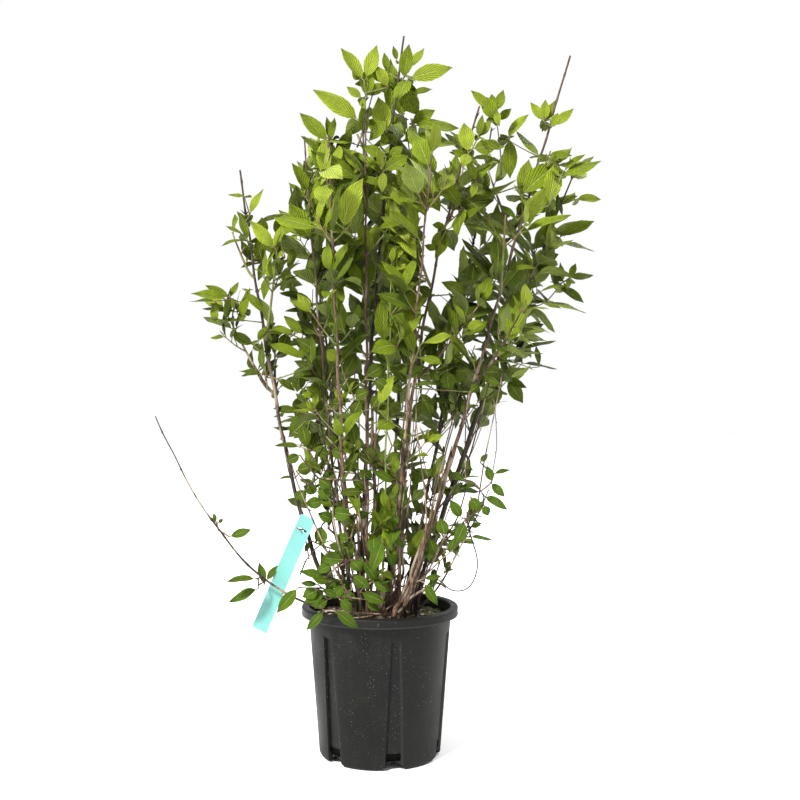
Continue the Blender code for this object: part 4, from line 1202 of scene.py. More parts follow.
def fill_drain_holes(ground, chance):
    """Clods of the mix that have washed against the drain holes."""
    clods = Bundle()
    clod = lump(2.0, level=2)
    for i in range(FLUTES):
        for _ in range(CLODS):
            turn = flute_angle(i) + chance.uniform(-0.10, 0.10)
            radius = BASE_RADIUS - FLUTE_DEPTH - WALL - chance.uniform(0.005, 0.010)
            height = RAISED_FLOOR + WALL + chance.uniform(0.001, 0.006)
            size = chance.uniform(0.0012, 0.0028)
            place = Matrix.Translation((radius * math.cos(turn), radius * math.sin(turn), height))
            tip = Matrix.Rotation(6 * turn, 4, "X")
            clods.solid(*clod, place @ tip @ Matrix.Scale(size, 4))
    clods.piece("mix_clods", ground, "potting_mix")


def lump(seed, level=1):
    """Corners and faces of an angular lump about two units across."""
    bm = bmesh.new()
    bmesh.ops.create_icosphere(bm, subdivisions=level, radius=1.0)
    for vert in bm.verts:
        vert.co *= 1.0 + 0.45 * noise.noise(vert.co * 1.7 + Vector((seed, 0, 0)))
    corners = [vert.co.copy() for vert in bm.verts]
    faces = [tuple(vert.index for vert in face.verts) for face in bm.faces]
    bm.free()
    return corners, faces


def build_mix(settings):
    chance = random.Random(11)
    bm = bmesh.new()
    bmesh.ops.create_grid(bm, x_segments=SOIL_CELLS, y_segments=SOIL_CELLS, size=SOIL_RADIUS)
    outside = [vert for vert in bm.verts if math.hypot(vert.co.x, vert.co.y) > SOIL_RADIUS]
    bmesh.ops.delete(bm, geom=outside, context="VERTS")
    for vert in bm.verts:
        vert.co.z = soil_height(vert.co.x, vert.co.y)
    for height in (SOIL_TOP - 0.008, SOIL_TOP - 0.016, 0.12, RAISED_FLOOR + WALL + 0.001):
        rim = [edge for edge in bm.edges if edge.is_boundary]
        skirt = bmesh.ops.extrude_edge_only(bm, edges=rim)["geom"]
        inside = wall_radius(height) - WALL - FLUTE_DEPTH - GAP
        reach = SOIL_RADIUS if height > FLUTE_TOP else inside
        for item in skirt:
            if isinstance(item, bmesh.types.BMVert):
                scale = reach / math.hypot(item.co.x, item.co.y)
                item.co = (item.co.x * scale, item.co.y * scale, height)
    bmesh.ops.holes_fill(bm, edges=[edge for edge in bm.edges if edge.is_boundary], sides=0)
    bmesh.ops.recalc_face_normals(bm, faces=bm.faces)
    ground = soil_finish("moist bark mix", settings.mix)
    add_piece("mix_body", mesh_of(bm, "mix_body"), [ground], ["potting_mix"])
    fill_drain_holes(ground, chance)
    chips, grains = settings.chips, settings.perlite
    kinds = (
        ("bark_chips", chips, (0.0012, 0.0042), 0.45, (0.032, 0.021, 0.012), 0.85),
        ("dark_crumbs", chips, (0.0008, 0.0022), 0.70, (0.014, 0.011, 0.007), 0.90),
        ("perlite_grains", grains, (0.0008, 0.0021), 0.80, (0.40, 0.38, 0.31), 0.80),
        ("moss_flakes", MOSS_FLAKES, (0.0010, 0.0034), 0.30, (0.105, 0.112, 0.032), 0.90),
        ("dry_litter", DRY_FLAKES, (0.0010, 0.0034), 0.22, (0.200, 0.165, 0.070), 0.85),
    )
    for i, (name, count, sizes, flatness, colour, roughness) in enumerate(kinds):
        bundle = Bundle()
        spread = MOSS_SIDE if name == "moss_flakes" else (0, TURN)
        scatter(bundle, lump(i * 3.7), count, sizes, flatness, spread, chance, lift=0.0004 * i)
        bundle.piece(name, grain_finish(name.replace("_", " "), colour, roughness), "potting_mix")


# Canes and woody crown

def cane_height(cane):
    """Height of the cane over its foot."""
    return cane.tip[2] - CROWN_TOP - GAP


def foot_share(cane):
    return FOOT_RISE / cane_height(cane)


def cane_point(cane, share):
    """Centre of the cane at a share of its height: upright at its foot, then bending out."""
    straight = foot_share(cane)
    run = (max(share - straight, 0.0) / (1.0 - straight)) ** cane.sweep
    x = cane.foot[0] + (cane.tip[0] - cane.foot[0]) * run
    y = cane.foot[1] + (cane.tip[1] - cane.foot[1]) * run
    foot_z = CROWN_TOP + GAP
    return Vector((x, y, foot_z + (cane.tip[2] - foot_z) * share))


def cane_radius(cane, share):
    """The cane tapers to its tip, and flares at its foot."""
    flare = 1.0 + (FLARE - 1.0) * max(0.0, 1.0 - share / (3.0 * foot_share(cane)))
    return 0.5 * cane.girth * flare * (1.0 - (1.0 - TIP_GIRTH) * share)


def cane_path(cane):
    """Points close together up the cane, with the slight zigzag of its nodes."""
    chance = random.Random(cane.name)
    height = cane.tip[2] - CROWN_TOP
    steps = max(12, round(1.12 * height / RING_STEP))
    phase = chance.uniform(0, 6)
    points = []
    for i in range(steps + 1):
        share = i / steps
        point = cane_point(cane, share)
        swing = ZIGZAG * min(1.0, 8 * share) * min(1.0, 6 * (1.0 - share))
        beat = share * height / BUD_STEP * math.pi + phase
        points.append(point + Vector((math.cos(beat), math.sin(1.7 * beat), 0.0)) * swing)
    return points


def run_length(points):
    """Length of a run of points."""
    return sum((b - a).length for a, b in zip(points, points[1:]))


def point_on(path, distance):
    """Point and direction at a distance along a run of points."""
    for start, stop in zip(path, path[1:]):
        step = (stop - start).length
        if distance <= step:
            return start + (stop - start) * (distance / step), (stop - start).normalized()
        distance -= step
    return path[-1], (path[-1] - path[-2]).normalized()


def bark_relief(points, chance):
    """Swelling of each ring at each side: ribs along the cane, and a collar at each node."""
    nodes = []
    distance = chance.uniform(0.02, BUD_STEP)
    length = run_length(points)
    while distance < length:
        nodes.append(distance)
        distance += BUD_STEP * chance.uniform(0.7, 1.3)
    along = [0.0]
    for a, b in zip(points, points[1:]):
        along.append(along[-1] + (b - a).length)
    seed = chance.uniform(0, 50)

    def relief(i, place):
        ribs = noise.noise(Vector((place * 1.9 + seed, along[i] * 22.0, 0.0)))
        fine = noise.noise(Vector((place * 2.7, along[i] * 140.0, seed)))
        near = min(abs(along[i] - node) for node in nodes) if nodes else 1.0
        collar = COLLAR * math.exp(-(near / COLLAR_REACH) ** 2)
        return 1.0 + BARK_RELIEF * (ribs + 0.6 * fine) + collar

    return relief, nodes


def add_buds(bundle, cane, points, nodes, chance):
    """Opposite buds, scars and short broken spurs at the nodes."""
    length = run_length(points)
    turn = chance.uniform(0, 3)
    for node in nodes:
        place, ahead = point_on(points, node)
        radius = cane_radius(cane, node / length)
        turn += math.pi / 2
        across = sideways(ahead, turn)
        for side in (across, -across):
            if chance.random() < MISSING_BUD:
                continue
            lift = (ahead * 0.9 + side * chance.uniform(0.5, 1.2)).normalized()
            long = chance.uniform(0.002, 0.0045)
            if chance.random() < BROKEN_SPUR:
                long = chance.uniform(0.006, 0.016)
            base = place + side * radius * 0.55
            radii = [radius * 0.42 + SPUR_END, radius * 0.34 + SPUR_END, SPUR_END]
            bundle.spur(base, lift * long, radii, bend=0.5)


def build_canes(settings):
    barks = {
        "tan": bark_finish("tan bark", settings.tan),
        "dark": bark_finish("dark bark", settings.dark),
        "green": young_bark_finish("green bark", settings.green, settings.petiole),
    }
    buds = Bundle()
    for cane in CANES:
        chance = random.Random("bark " + cane.name)
        points = cane_path(cane)
        relief, nodes = bark_relief(points, chance)
        radii = [cane_radius(cane, i / (len(points) - 1)) for i in range(len(points))]
        points[0] = points[0] - UP * 0.004
        bm = grow_limb(points, radii, BARK_SIDES, relief)
        slot = "green_bark" if cane.bark == "green" else "bark"
        name = f"bark_{cane.name}"
        add_piece(name, mesh_of(bm, name), [barks[cane.bark]], [f"cane_{cane.name}"])
        add_buds(buds, cane, points, nodes, chance)
    bud_wood = bark_finish("bud scales", shaded(settings.dark, 0.75))
    buds.piece("buds_and_spurs", bud_wood, "bark")
    build_thin_canes(settings, barks)


def grow_companions(count, kinds):
    """Thin bare canes, some broken off, that rise beside the main ones and cross them."""
    chance = random.Random(23)
    main = [cane for cane in CANES if cane.name in ACCOMPANIED]
    for i in range(count):
        cane = main[i % len(main)]
        top = chance.uniform(*COMPANION_TOP)
        angle = chance.uniform(0, TURN)
        drift = chance.uniform(-COMPANION_DRIFT, COMPANION_DRIFT)
        away = chance.uniform(*COMPANION_AWAY)
        thick = chance.uniform(*COMPANION_RADIUS)
        path = []
        for k in range(COMPANION_RINGS + 1):
            share = k / COMPANION_RINGS
            out = 0.0065 + away * share ** 1.3
            wiggle = 0.0012 * math.sin(21 * share + 5 * i)
            point = cane_point(cane, top * share)
            path.append(point + ray(angle + drift * share) * (out + wiggle))
        path[0] = path[0] - UP * 0.006
        kind = "dark" if i % 3 == 0 else "tan"
        kinds[kind].tube(path, taper(thick, 0.5, COMPANION_RINGS), 7)
        for k in range(5, COMPANION_RINGS, 4):
            reach = ray(3 * k + i, SPUR_RISE).normalized() * chance.uniform(0.0025, 0.008)
            kinds["dark"].spur(path[k], reach, [0.0009, 0.0007, SPUR_END])


def grow_thin_stems(kinds):
    """Thin bare stems that cross between the canes, with a stub here and there."""
    for depth, thick, kind, places in THIN_STEMS:
        chance = random.Random(places[0][0] * 7 + places[0][1])
        bow = chance.uniform(-0.012, 0.012)
        count = len(places) - 1
        line = []
        for k, place in enumerate(places):
            line.append(from_photo(*place, depth + bow * math.sin(math.pi * k / count)))
        rings = 8 * count
        path = smooth_path(line, rings)
        kinds[kind].tube(path, taper(thick, 0.4, rings), 7)
        for k in range(7, rings, 9):
            reach = ray(2.3 * k, SPUR_RISE).normalized() * chance.uniform(0.002, 0.006)
            kinds["dark"].spur(path[k], reach, [0.0008, 0.0006, SPUR_END])


def build_thin_canes(settings, barks):
    kinds = {"tan": Bundle(), "dark": Bundle()}
    grow_companions(settings.companions, kinds)
    grow_thin_stems(kinds)
    for kind, bundle in kinds.items():
        bundle.piece(f"thin_{kind}_canes", barks[kind], "bark")


def build_crown(settings):
    """Knotted woody crown: a low burl, a swelling under each cane, and old cut stubs."""
    bm = bmesh.new()
    low = SOIL_TOP - 0.004
    burl = (CROWN_RADIUS * 0.86, CROWN_RADIUS * 0.84, 0.011)
    swellings = [(Vector((*CROWN_CENTRE.xy, low)), burl, 5)]
    swellings += [(Vector((*cane.foot, low + 0.003)), CANE_SWELLING, 3) for cane in CANES]
    for place, size, level in swellings:
        made = bmesh.ops.create_icosphere(bm, subdivisions=level, radius=1.0)
        for vert in made["verts"]:
            vert.co = Vector([a * b for a, b in zip(vert.co, size)]) + place
            rough = noise.noise(vert.co * 70) * 0.0035 + noise.noise(vert.co * 260) * 0.0014
            vert.co += (vert.co - place).normalized() * rough
    wood = bark_finish("crown bark", toward(settings.dark, settings.tan, 0.25))
    add_piece("burl", mesh_of(bm, "burl"), [wood], ["root_crown"])
    ends = cut_wood_finish("cut wood", (0.36, 0.27, 0.17))
    chance = random.Random(5)
    stubs = bmesh.new()
    for x, y, height in STUBS:
        start = Vector((x, y, CROWN_TOP - 0.008))
        lean = Vector((0.3 * x, 0.3 * y, height))
        seed = chance.uniform(0, 30)
        points = [start + lean * k / 7 for k in range(8)]
        radii = [STUB_RADIUS - 0.0002 * k for k in range(8)]

        def relief(i, place):
            return 1.0 + 0.16 * noise.noise(Vector((place * 1.3 + seed, i * 0.6, 0)))

        made = mesh_of(grow_limb(points, radii, 14, relief), "stub")
        stubs.from_mesh(made)
        bpy.data.meshes.remove(made)
    tops = [face for face in stubs.faces if len(face.verts) > 4 and face.normal.z > 0.5]
    bmesh.ops.inset_region(stubs, faces=tops, thickness=0.0009, depth=-0.0006)
    for face in tops:
        face.material_index = 1
    add_piece("old_stubs", mesh_of(stubs, "old_stubs"), [wood, ends])


# Foliage

LeafSpot = namedtuple("LeafSpot", "base along up length width curl fold twist wave")


class Plant:
    """Everything that grows: leaves by tint, twigs and leaf stalks."""

    def __init__(self, settings):
        self.settings = settings
        self.leaves = {tint: [] for tint in TINTS}
        self.masses = {tint: set() for tint in TINTS}
        self.brown = Bundle()
        self.green = Bundle()
        self.stalks = Bundle()
        self.mass = None
        self.ceiling = NO_CEILING

    def has_room(self, base, along, length):
        """Whether a leaf stays in the crown, out of the sky gaps and beside the canes."""
        tip = base + along * length
        if tip.z > self.ceiling or not in_crown(tip) or not in_crown(base):
            return False
        if any(in_sky_gap(base + along * length * share) for share in (0.5, 0.8)):
            return False
        return not any(hides_cane(base + along * length * share) for share in (0.25, 0.5, 0.75))

    def leaf_count(self):
        return sum(len(spots) for spots in self.leaves.values())


def seen_from_front(point):
    """Where a point stands in the middle plane when it is seen from the front."""
    share = CAMERA_DISTANCE / (CAMERA_DISTANCE + point.y)
    return point.x * share, CAMERA_HEIGHT + (point.z - CAMERA_HEIGHT) * share


def photo_place(point):
    """Column and row of the photograph where a point stands."""
    x, z = seen_from_front(point)
    return MIDDLE_COLUMN + x / PIXEL, LEVEL_ROW - (z - CAMERA_HEIGHT) / PIXEL


def from_photo(column, row, depth):
    """The point at a depth behind the middle plane that stands at a place of the photograph."""
    reach = PIXEL * (CAMERA_DISTANCE + depth) / CAMERA_DISTANCE
    height = CAMERA_HEIGHT + (LEVEL_ROW - row) * reach
    return Vector(((column - MIDDLE_COLUMN) * reach, depth, height))


def outline_at(height):
    """The crown's reach to the left and right at a height."""
    for (low, left, right), (high, far_left, far_right) in zip(OUTLINE, OUTLINE[1:]):
        if low <= height <= high:
            share = (height - low) / (high - low)
            return left + (far_left - left) * share, right + (far_right - right) * share
    return (0.0, 0.0)


def in_crown(point):
    x, z = seen_from_front(point)
    left, right = outline_at(z)
    between = left + CROWN_EDGE < x < right - CROWN_EDGE and CROWN_FRONT < point.y < CROWN_BACK
    return between and point.z > CROWN_LOWEST


def in_sky_gap(point):
    column, row = photo_place(point)
    return any(left < column < right and top < row < foot for left, top, right, foot in SKY_GAPS)


def off_limits(point):
    """Whether a twig's end would leave the crown or stand in a sky gap."""
    return not in_crown(point) or in_sky_gap(point)


def hides_cane(point):
    """Whether a point stands in front of a cane that shows along its length."""
    x, _ = seen_from_front(point)
    for name in SHOWN_CANES:
        cane = CANE[name]
        share = (point.z - CROWN_TOP) / (cane.tip[2] - CROWN_TOP)
        if not 0.0 < share < 1.02:
            continue
        wood = cane_point(cane, share)
        if point.y < wood.y + 0.01 and abs(seen_from_front(wood)[0] - x) < CLEAR_OF_CANE:
            return True
    return False


def curved(start, heading, length, steps, lift):
    """A path that bends upwards as it grows."""
    path = [start]
    ahead = heading.normalized()
    for _ in range(steps):
        ahead = (ahead + UP * lift / steps).normalized()
        path.append(path[-1] + ahead * length / steps)
    return path


def tint_at(point, chance, youth=0.0):
    """The tint of a spray, partly painted light and shade: brighter high up and outside, darker low
    and deep inside, and darker on the right, away from the key light.
    """
    height = (point.z - 0.40) / 0.62
    reach = math.hypot(point.x / 0.30, point.y / 0.24)
    light = 0.62 * height + 0.26 * reach + youth + chance.uniform(-0.22, 0.22)
    # Painted shade: on the right, away from the key light, leaves below the top get darker tints.
    if point.x > 0.10 and point.z < 0.88:
        light -= 0.14
    if point.z < LOW_LEAVES_TO:
        return "low" if light < 0.55 else "shade"
    return next((tint for tint, least in LIGHT_STEPS if light > least), "shade")


def add_leaf(plant, node, direction, face_up, length, tint, chance):
    """One leaf on its stalk, if there is room. It turns its face outwards to the light."""
    outward = Vector((node.x, node.y, 0.0))
    outward = outward.normalized() if outward.length > 0.02 else Vector((0, 0, 0))
    along = direction.normalized()
    leaning = max(0.0, along.dot(outward))
    along.z = max(along.z - leaning * chance.uniform(0.0, 0.45), chance.uniform(-0.45, 0.10))
    along.normalize()
    if plant.mass:
        grown = (node.z - SMALL_LEAVES_TO) / (FULL_LEAVES_FROM - SMALL_LEAVES_TO)
        length *= min(1.0, max(SMALL_LEAF, SMALL_LEAF + (1.0 - SMALL_LEAF) * grown))
    hold = STALK_SHARE * length * chance.uniform(0.8, 1.3)
    base = node + along * hold
    if not plant.has_room(base, along, length):
        return
    face = face_up + outward * chance.uniform(0.1, 1.3)
    up = face - along * face.dot(along)
    up = up.normalized() if up.length > 1e-4 else along.orthogonal().normalized()
    curl = chance.gauss(0.34, 0.30) + 0.35 * leaning * chance.random()
    spot = LeafSpot(
        base, along, up, length, plant.settings.width * chance.uniform(0.84, 1.14),
        curl, chance.uniform(0.18, 0.75), chance.gauss(0, 0.25), chance.uniform(0, 6.3))
    plant.leaves[tint].append(spot)
    if plant.mass:
        plant.masses[tint].add(plant.mass)
    sag = base + along * 0.06 * length
    middle = node.lerp(base, 0.5) + UP * 0.04 * hold
    plant.stalks.tube([node, middle, sag], STALK_RADII, 5)


def leaf_pair(plant, point, ahead, turn, spread, length, tint, chance, droop=0.16):
    """Two opposite leaves at a node."""
    across = sideways(ahead, turn)
    for side in (across, -across):
        if chance.random() < MISSING_LEAF:
            continue
        angle = math.radians(spread + chance.uniform(-14, 14))
        direction = ahead * math.cos(angle) + side * math.sin(angle)
        direction.z += 0.30 - droop * chance.uniform(-1.0, 1.0)
        roll = (chance.uniform(-0.35, 0.35), chance.uniform(-0.35, 0.35), 0.65)
        size = length * chance.uniform(0.74, 1.12)
        add_leaf(plant, point, direction, ahead * 0.35 + Vector(roll), size, tint, chance)


def rosette(plant, point, ahead, turn, length, tint, chance):
    """The growing tip: young pairs that stand up round the bud."""
    for share, spread in ((0.88, 46), (0.60, 30), (0.34, 14)):
        turn += math.pi / 2
        leaf_pair(plant, point, ahead, turn, spread, length * share, tint, chance, droop=0.05)


def younger(tint):
    return TINTS[max(TINTS.index(tint) - 1, 0)] if tint != "low" else "crown"


def grow_sprig(plant, start, heading, length, leaf_length, pairs, chance, girth=0.0014):
    """A leafy twig: opposite pairs, each a quarter turn on, and a rosette at its tip."""
    path = curved(start, heading, length, 6, SPRIG_LIFT * chance.uniform(0.5, 1.4))
    if off_limits(path[-1]):
        return
    wood = plant.brown if path[-1].z < 0.5 else plant.green
    tint = tint_at(path[-1], chance)
    turn = chance.uniform(0, math.pi)
    before = plant.leaf_count()
    for k in range(pairs):
        share = 0.40 + 0.60 * k / pairs
        point, ahead = point_on(path, share * length)
        turn += math.pi / 2 + chance.uniform(-0.2, 0.2)
        leaf_pair(plant, point, ahead, turn, SPRIG_SPREAD, leaf_length, tint, chance)
    point, ahead = point_on(path, length * 0.995)
    rosette(plant, point, ahead, turn, leaf_length, younger(tint), chance)
    if plant.leaf_count() > before:
        wood.tube(path, taper(girth, 0.45, 6), 6)


def crown_stem(cane):
    shares = [cane.leafy_from + (1.0 - cane.leafy_from) * i / 4 for i in range(5)]
    return [cane_point(cane, share) for share in shares]


def side_stem(shoot, cane):
    """Stem that starts on its cane's side, and bends upwards as it grows."""
    height = cane_height(cane)
    foot = cane_point(cane, shoot.share)
    run = (cane_point(cane, shoot.share + 0.01 / height) - foot).normalized()
    turn, lift = math.radians(shoot.turn), math.radians(shoot.lift)
    out = ray(turn)
    out = (out - run * out.dot(run)).normalized()
    start = foot + out * 0.4 * cane_radius(cane, shoot.share)
    level = math.cos(lift)
    grow = Vector((math.cos(turn) * level, math.sin(turn) * level, math.sin(lift)))
    path = [start, start + out * STUB_LENGTH]
    steps = 2
    for i in range(steps):
        rise = 0.25 * i / steps if shoot.lift > 20 else -0.5 * i / steps
        path.append(path[-1] + (grow + Vector((0, 0, rise))).normalized() * (shoot.length / steps))
    return path


def plan_masses():
    """Stem, twig length and leaf length of every mass, the side masses first."""
    masses = []
    for seed, shoot in enumerate(SHOOTS):
        path = side_stem(shoot, CANE[shoot.cane])
        masses.append(Mass(f"foliage_{shoot.name}", path, shoot.twig, shoot.leaf, seed, True))
    for seed, cane in enumerate(CANES):
        if cane.leafy_from < 1.0:
            low = cane.tip[2] < LOW_CANE
            twig, blade = (LOW_TWIG, LOW_LEAF) if low else (CROWN_TWIG, CROWN_LEAF)
            path = crown_stem(cane)
            masses.append(Mass(f"foliage_{cane.name}", path, twig, blade, 100 + seed, False))
    return masses


def smooth_path(path, steps):
    """The same run with points close together and its corners rounded."""
    length = run_length(path)
    points = [point_on(path, length * i / steps)[0] for i in range(steps + 1)]
    for _ in range(2):
        inner = [(a + b + c) / 3 for a, b, c in zip(points, points[1:], points[2:])]
        points = [points[0], *inner, points[-1]]
    return points


def grow_twigs(mass, stem_length, chance):
    """Opposite twigs up the stem, each pair a quarter turn on: start, direction and length."""
    step = NODE_STEP + NODE_STEP_PER_LEAF * mass.leaf
    count = max(1, round((stem_length - 0.02) / step))
    turn = chance.uniform(0, math.pi)
    for k in range(count):
        distance = stem_length - (count - k) * step * 0.94
        if distance < STUB_LENGTH + 0.004:
            distance = STUB_LENGTH + 0.010
        point, ahead = point_on(mass.path, distance)
        turn += math.pi / 2 + chance.uniform(-NODE_JITTER, NODE_JITTER)
        across = sideways(ahead, turn)
        reach = mass.twig * (1.0 - TOP_SHORTENING * (k / count) ** 2)
        for side in (across, -across):
            rise = math.radians(chance.uniform(*TWIG_RISE))
            bend = ahead * math.cos(rise) + side * math.sin(rise) + Vector((0, 0, UPWARD))
            yield point, ahead, side, bend.normalized(), reach * chance.uniform(*TWIG_LENGTHS)


def grow_mass(plant, mass):
    """One mass: its stem, the source's twigs, and leaf pairs between them."""
    plant.mass = mass.name
    plant.ceiling = mass.path[-1].z + ABOVE_TIP
    chance = random.Random(mass.seed)
    stem_length = run_length(mass.path)
    blade = mass.leaf * plant.settings.length / CROWN_LEAF
    finer = random.Random(1000 + mass.seed)
    for point, ahead, side, bend, long in grow_twigs(mass, stem_length, chance):
        grow_sprig(plant, point, bend, long * finer.uniform(0.50, 0.95), blade, 2, finer)
        below = ahead * 0.5 + side * 0.8 + UP * finer.uniform(-0.15, 0.25)
        face = ahead * 0.35 + UP * 0.65
        if finer.random() < 0.8:
            size = blade * finer.uniform(0.8, 1.1)
            add_leaf(plant, point, below, face, size, tint_at(point, finer), finer)
    if mass.side:
        path = smooth_path(mass.path, 14)
        while len(path) > 5 and off_limits(path[-1]):
            path.pop()
        wood = plant.brown if mass.path[0].z < GREEN_STEMS_FROM else plant.green
        thick = min(STEM_RADIUS, 0.010 * stem_length + 0.0013)
        wood.tube(path, [thick * (1.0 - 0.05 * k) for k in range(len(path))], 7)
    spacing = DENSE_SPACING if mass.name in DENSE_MASSES else PAIR_SPACING
    step = spacing * (NODE_STEP + NODE_STEP_PER_LEAF * mass.leaf)
    distance = 0.030
    turn = finer.uniform(0, 3)
    while distance < stem_length - 0.02:
        point, ahead = point_on(mass.path, distance)
        turn += math.pi / 2 + finer.uniform(-0.2, 0.2)
        tint = tint_at(point, finer, -0.06)
        leaf_pair(plant, point, ahead, turn, PAIR_SPREAD, blade * 0.95, tint, finer)
        distance += step * finer.uniform(0.8, 1.2)
    tip, ahead = mass.path[-1], (mass.path[-1] - mass.path[-2]).normalized()
    tint = younger(tint_at(tip, finer))
    leaf_pair(plant, tip - ahead * 0.016, ahead, turn, PAIR_SPREAD, blade, tint, finer)
    rosette(plant, tip, ahead, turn, blade, tint, finer)


def grow_low_sprigs(plant):
    """Small leafy side shoots low on the canes, where light reaches in."""
    plant.mass = None
    plant.ceiling = NO_CEILING
    for cane in CANES:
        if cane.tip[2] < LOW_CANE:
            continue
        chance = random.Random("low " + cane.name)
        height = cane.tip[2] - CROWN_TOP
        top = min(cane.leafy_from, LOW_SPRIGS_TO)
        share = chance.uniform(0.02, 0.07)
        while share < top:
            point = cane_point(cane, share)
            angle = math.atan2(point.y, point.x) + chance.gauss(0, 1.1)
            heading = ray(angle, chance.uniform(0.2, 1.0))
            low = share < 0.24
            length = chance.uniform(0.030, 0.080 if low else 0.070)
            size = chance.uniform(*((0.040, 0.062) if low else (0.038, 0.060)))
            grow_sprig(plant, point, heading, length, size, 1, chance, girth=0.0011)
            share += chance.uniform(0.024, 0.055) / height * (1.0 if low else 1.25)


def spray_root(cane, column, row):
    """The point of a cane, a little lower, from which a spray reaches a place of the photo."""
    best, least = None, 1e9
    for i in range(2, 101):
        point = cane_point(cane, i / 100)
        cane_column, cane_row = photo_place(point)
        aside = abs(cane_column - column)
        wanted = row + 0.5 * aside + 4
        cost = aside + abs(cane_row - wanted)
        if cost < least:
            best, least = point, cost
    return best


def grow_spray(plant, spray):
    """Leaves where the photograph shows them, on twigs that branch from the spray's cane."""
    chance = random.Random(str(spray.leaves))
    middle = [sum(leaf[k] for leaf in spray.leaves) / len(spray.leaves) for k in (0, 1)]
    root = spray_root(CANE[spray.cane], *middle)
    depth = root.y + spray.behind
    leaves = []
    for column, row, tip_column, tip_row, breadth in spray.leaves:
        base = from_photo(column, row, depth + chance.uniform(-SPRAY_DEPTH, SPRAY_DEPTH))
        long = math.hypot(tip_column - column, tip_row - row)
        tip = from_photo(tip_column, tip_row, base.y + chance.uniform(-0.35, 0.30) * long * PIXEL)
        leaves.append((base, tip, breadth / long))
    leaves.sort(key=lambda leaf: (leaf[0] - root).length)
    knots = [root]
    for base, tip, ratio in leaves:
        knot = min(knots, key=lambda knot: (knot - base).length + 2.0 * max(0.0, knot.z - base.z))
        gap = (base - knot).length
        if gap > 0.004:
            bow = knot.lerp(base, 0.55) + Vector((base.x - knot.x, base.y - knot.y, 0.0)) * 0.08
            path = smooth_path([knot, bow, base], 6)
            low = base.z < GREEN_TWIGS_FROM
            wood, girth = (plant.brown, 0.0015) if low else (plant.green, 0.0012)
            wood.tube(path, [girth - 0.00008 * k for k in range(7)], 6)
            knots += path[2:]
        hang_leaf(plant, base, tip, ratio, chance)
        if base.z > BACK_LEAVES_FROM:
            back_leaves(plant, base, (tip - base).length, chance)


def back_leaves(plant, node, length, chance):
    """The leaves of a node that point away from the front, or now and then towards it."""
    for backward in (1.0, 1.0, -1.0):
        likely, low, high = (0.62, -0.15, 0.65) if backward > 0 else (0.22, -1.2, -0.4)
        if chance.random() > likely:
            continue
        rise = chance.uniform(low, high)
        direction = Vector((chance.uniform(-0.35, 0.35), backward, rise)).normalized()
        long = length * chance.uniform(0.75, 1.05)
        face = UP + Vector((chance.uniform(-1.0, 1.0), 0.0, 0.0))
        up = (face - direction * face.dot(direction)).normalized()
        spot = LeafSpot(
            node + direction * 0.06 * long, direction, up, long,
            plant.settings.width * chance.uniform(0.85, 1.1), chance.gauss(0.35, 0.2),
            chance.uniform(0.2, 0.6), chance.gauss(0, 0.2), chance.uniform(0, 6.3))
        plant.leaves[tint_at(node, chance)].append(spot)
        stalk = [node + direction * share * long for share in (0.0, 0.05, 0.12)]
        plant.stalks.tube(stalk, (0.0010, 0.0008, 0.0007), 5)


def hang_leaf(plant, base, tip, ratio, chance):
    """A leaf between two points, turned until it is seen as broad as the photograph shows it."""
    along = (tip - base).normalized()
    front = (FRONT - along * FRONT.dot(along)).normalized()
    above = front.cross(along)
    if above.z < 0:
        above = -above
    full = max(0.90 * plant.settings.width, ratio)
    shown = min(1.0, ratio / full)
    up = front * shown + above * math.sqrt(1.0 - shown * shown)
    hold = 0.07 * (tip - base).length
    start = base + along * hold
    spot = LeafSpot(
        start, along, up, (tip - start).length, full * 1.06, chance.gauss(0.10, 0.18),
        chance.uniform(0.30, 0.70), chance.gauss(0, 0.18), chance.uniform(0, 6.3))
    plant.leaves[tint_at(base, chance, -0.02)].append(spot)
    stalk = [base, base + along * 0.5 * hold, start + along * 0.05 * spot.length]
    plant.stalks.tube(stalk, STALK_RADII, 5)


def leaf_blank():
    """A unit blade: a grid drawn to a point at both ends, with an underside. x runs along it,
    y across it from -1 to 1, and z is 1 on its upper face and -1 on its under face."""
    bm = bmesh.new()
    bmesh.ops.create_grid(bm, x_segments=LEAF_ROWS, y_segments=4, size=1.0)
    under = bmesh.ops.duplicate(bm, geom=bm.faces[:])["geom"]
    below = [face for face in under if isinstance(face, bmesh.types.BMFace)]
    bmesh.ops.reverse_faces(bm, faces=below)
    below_verts = {vert for face in below for vert in face.verts}
    for face in below:
        face.material_index = 1
    for vert in bm.verts:
        along, across = 0.5 + 0.5 * vert.co.x, vert.co.y
        side = -1.0 if vert in below_verts else 1.0
        if abs(across) > 0.99:
            side = 0.0
        if along < 0.01 or along > 0.99:
            across = side = 0.0
        vert.co = (along, across, side)
    bmesh.ops.remove_doubles(bm, verts=bm.verts, dist=0.0001)
    corners = np.array([vert.co for vert in bm.verts])
    faces = [([vert.index for vert in face.verts], face.material_index) for face in bm.faces]
    bm.free()
    return corners, faces


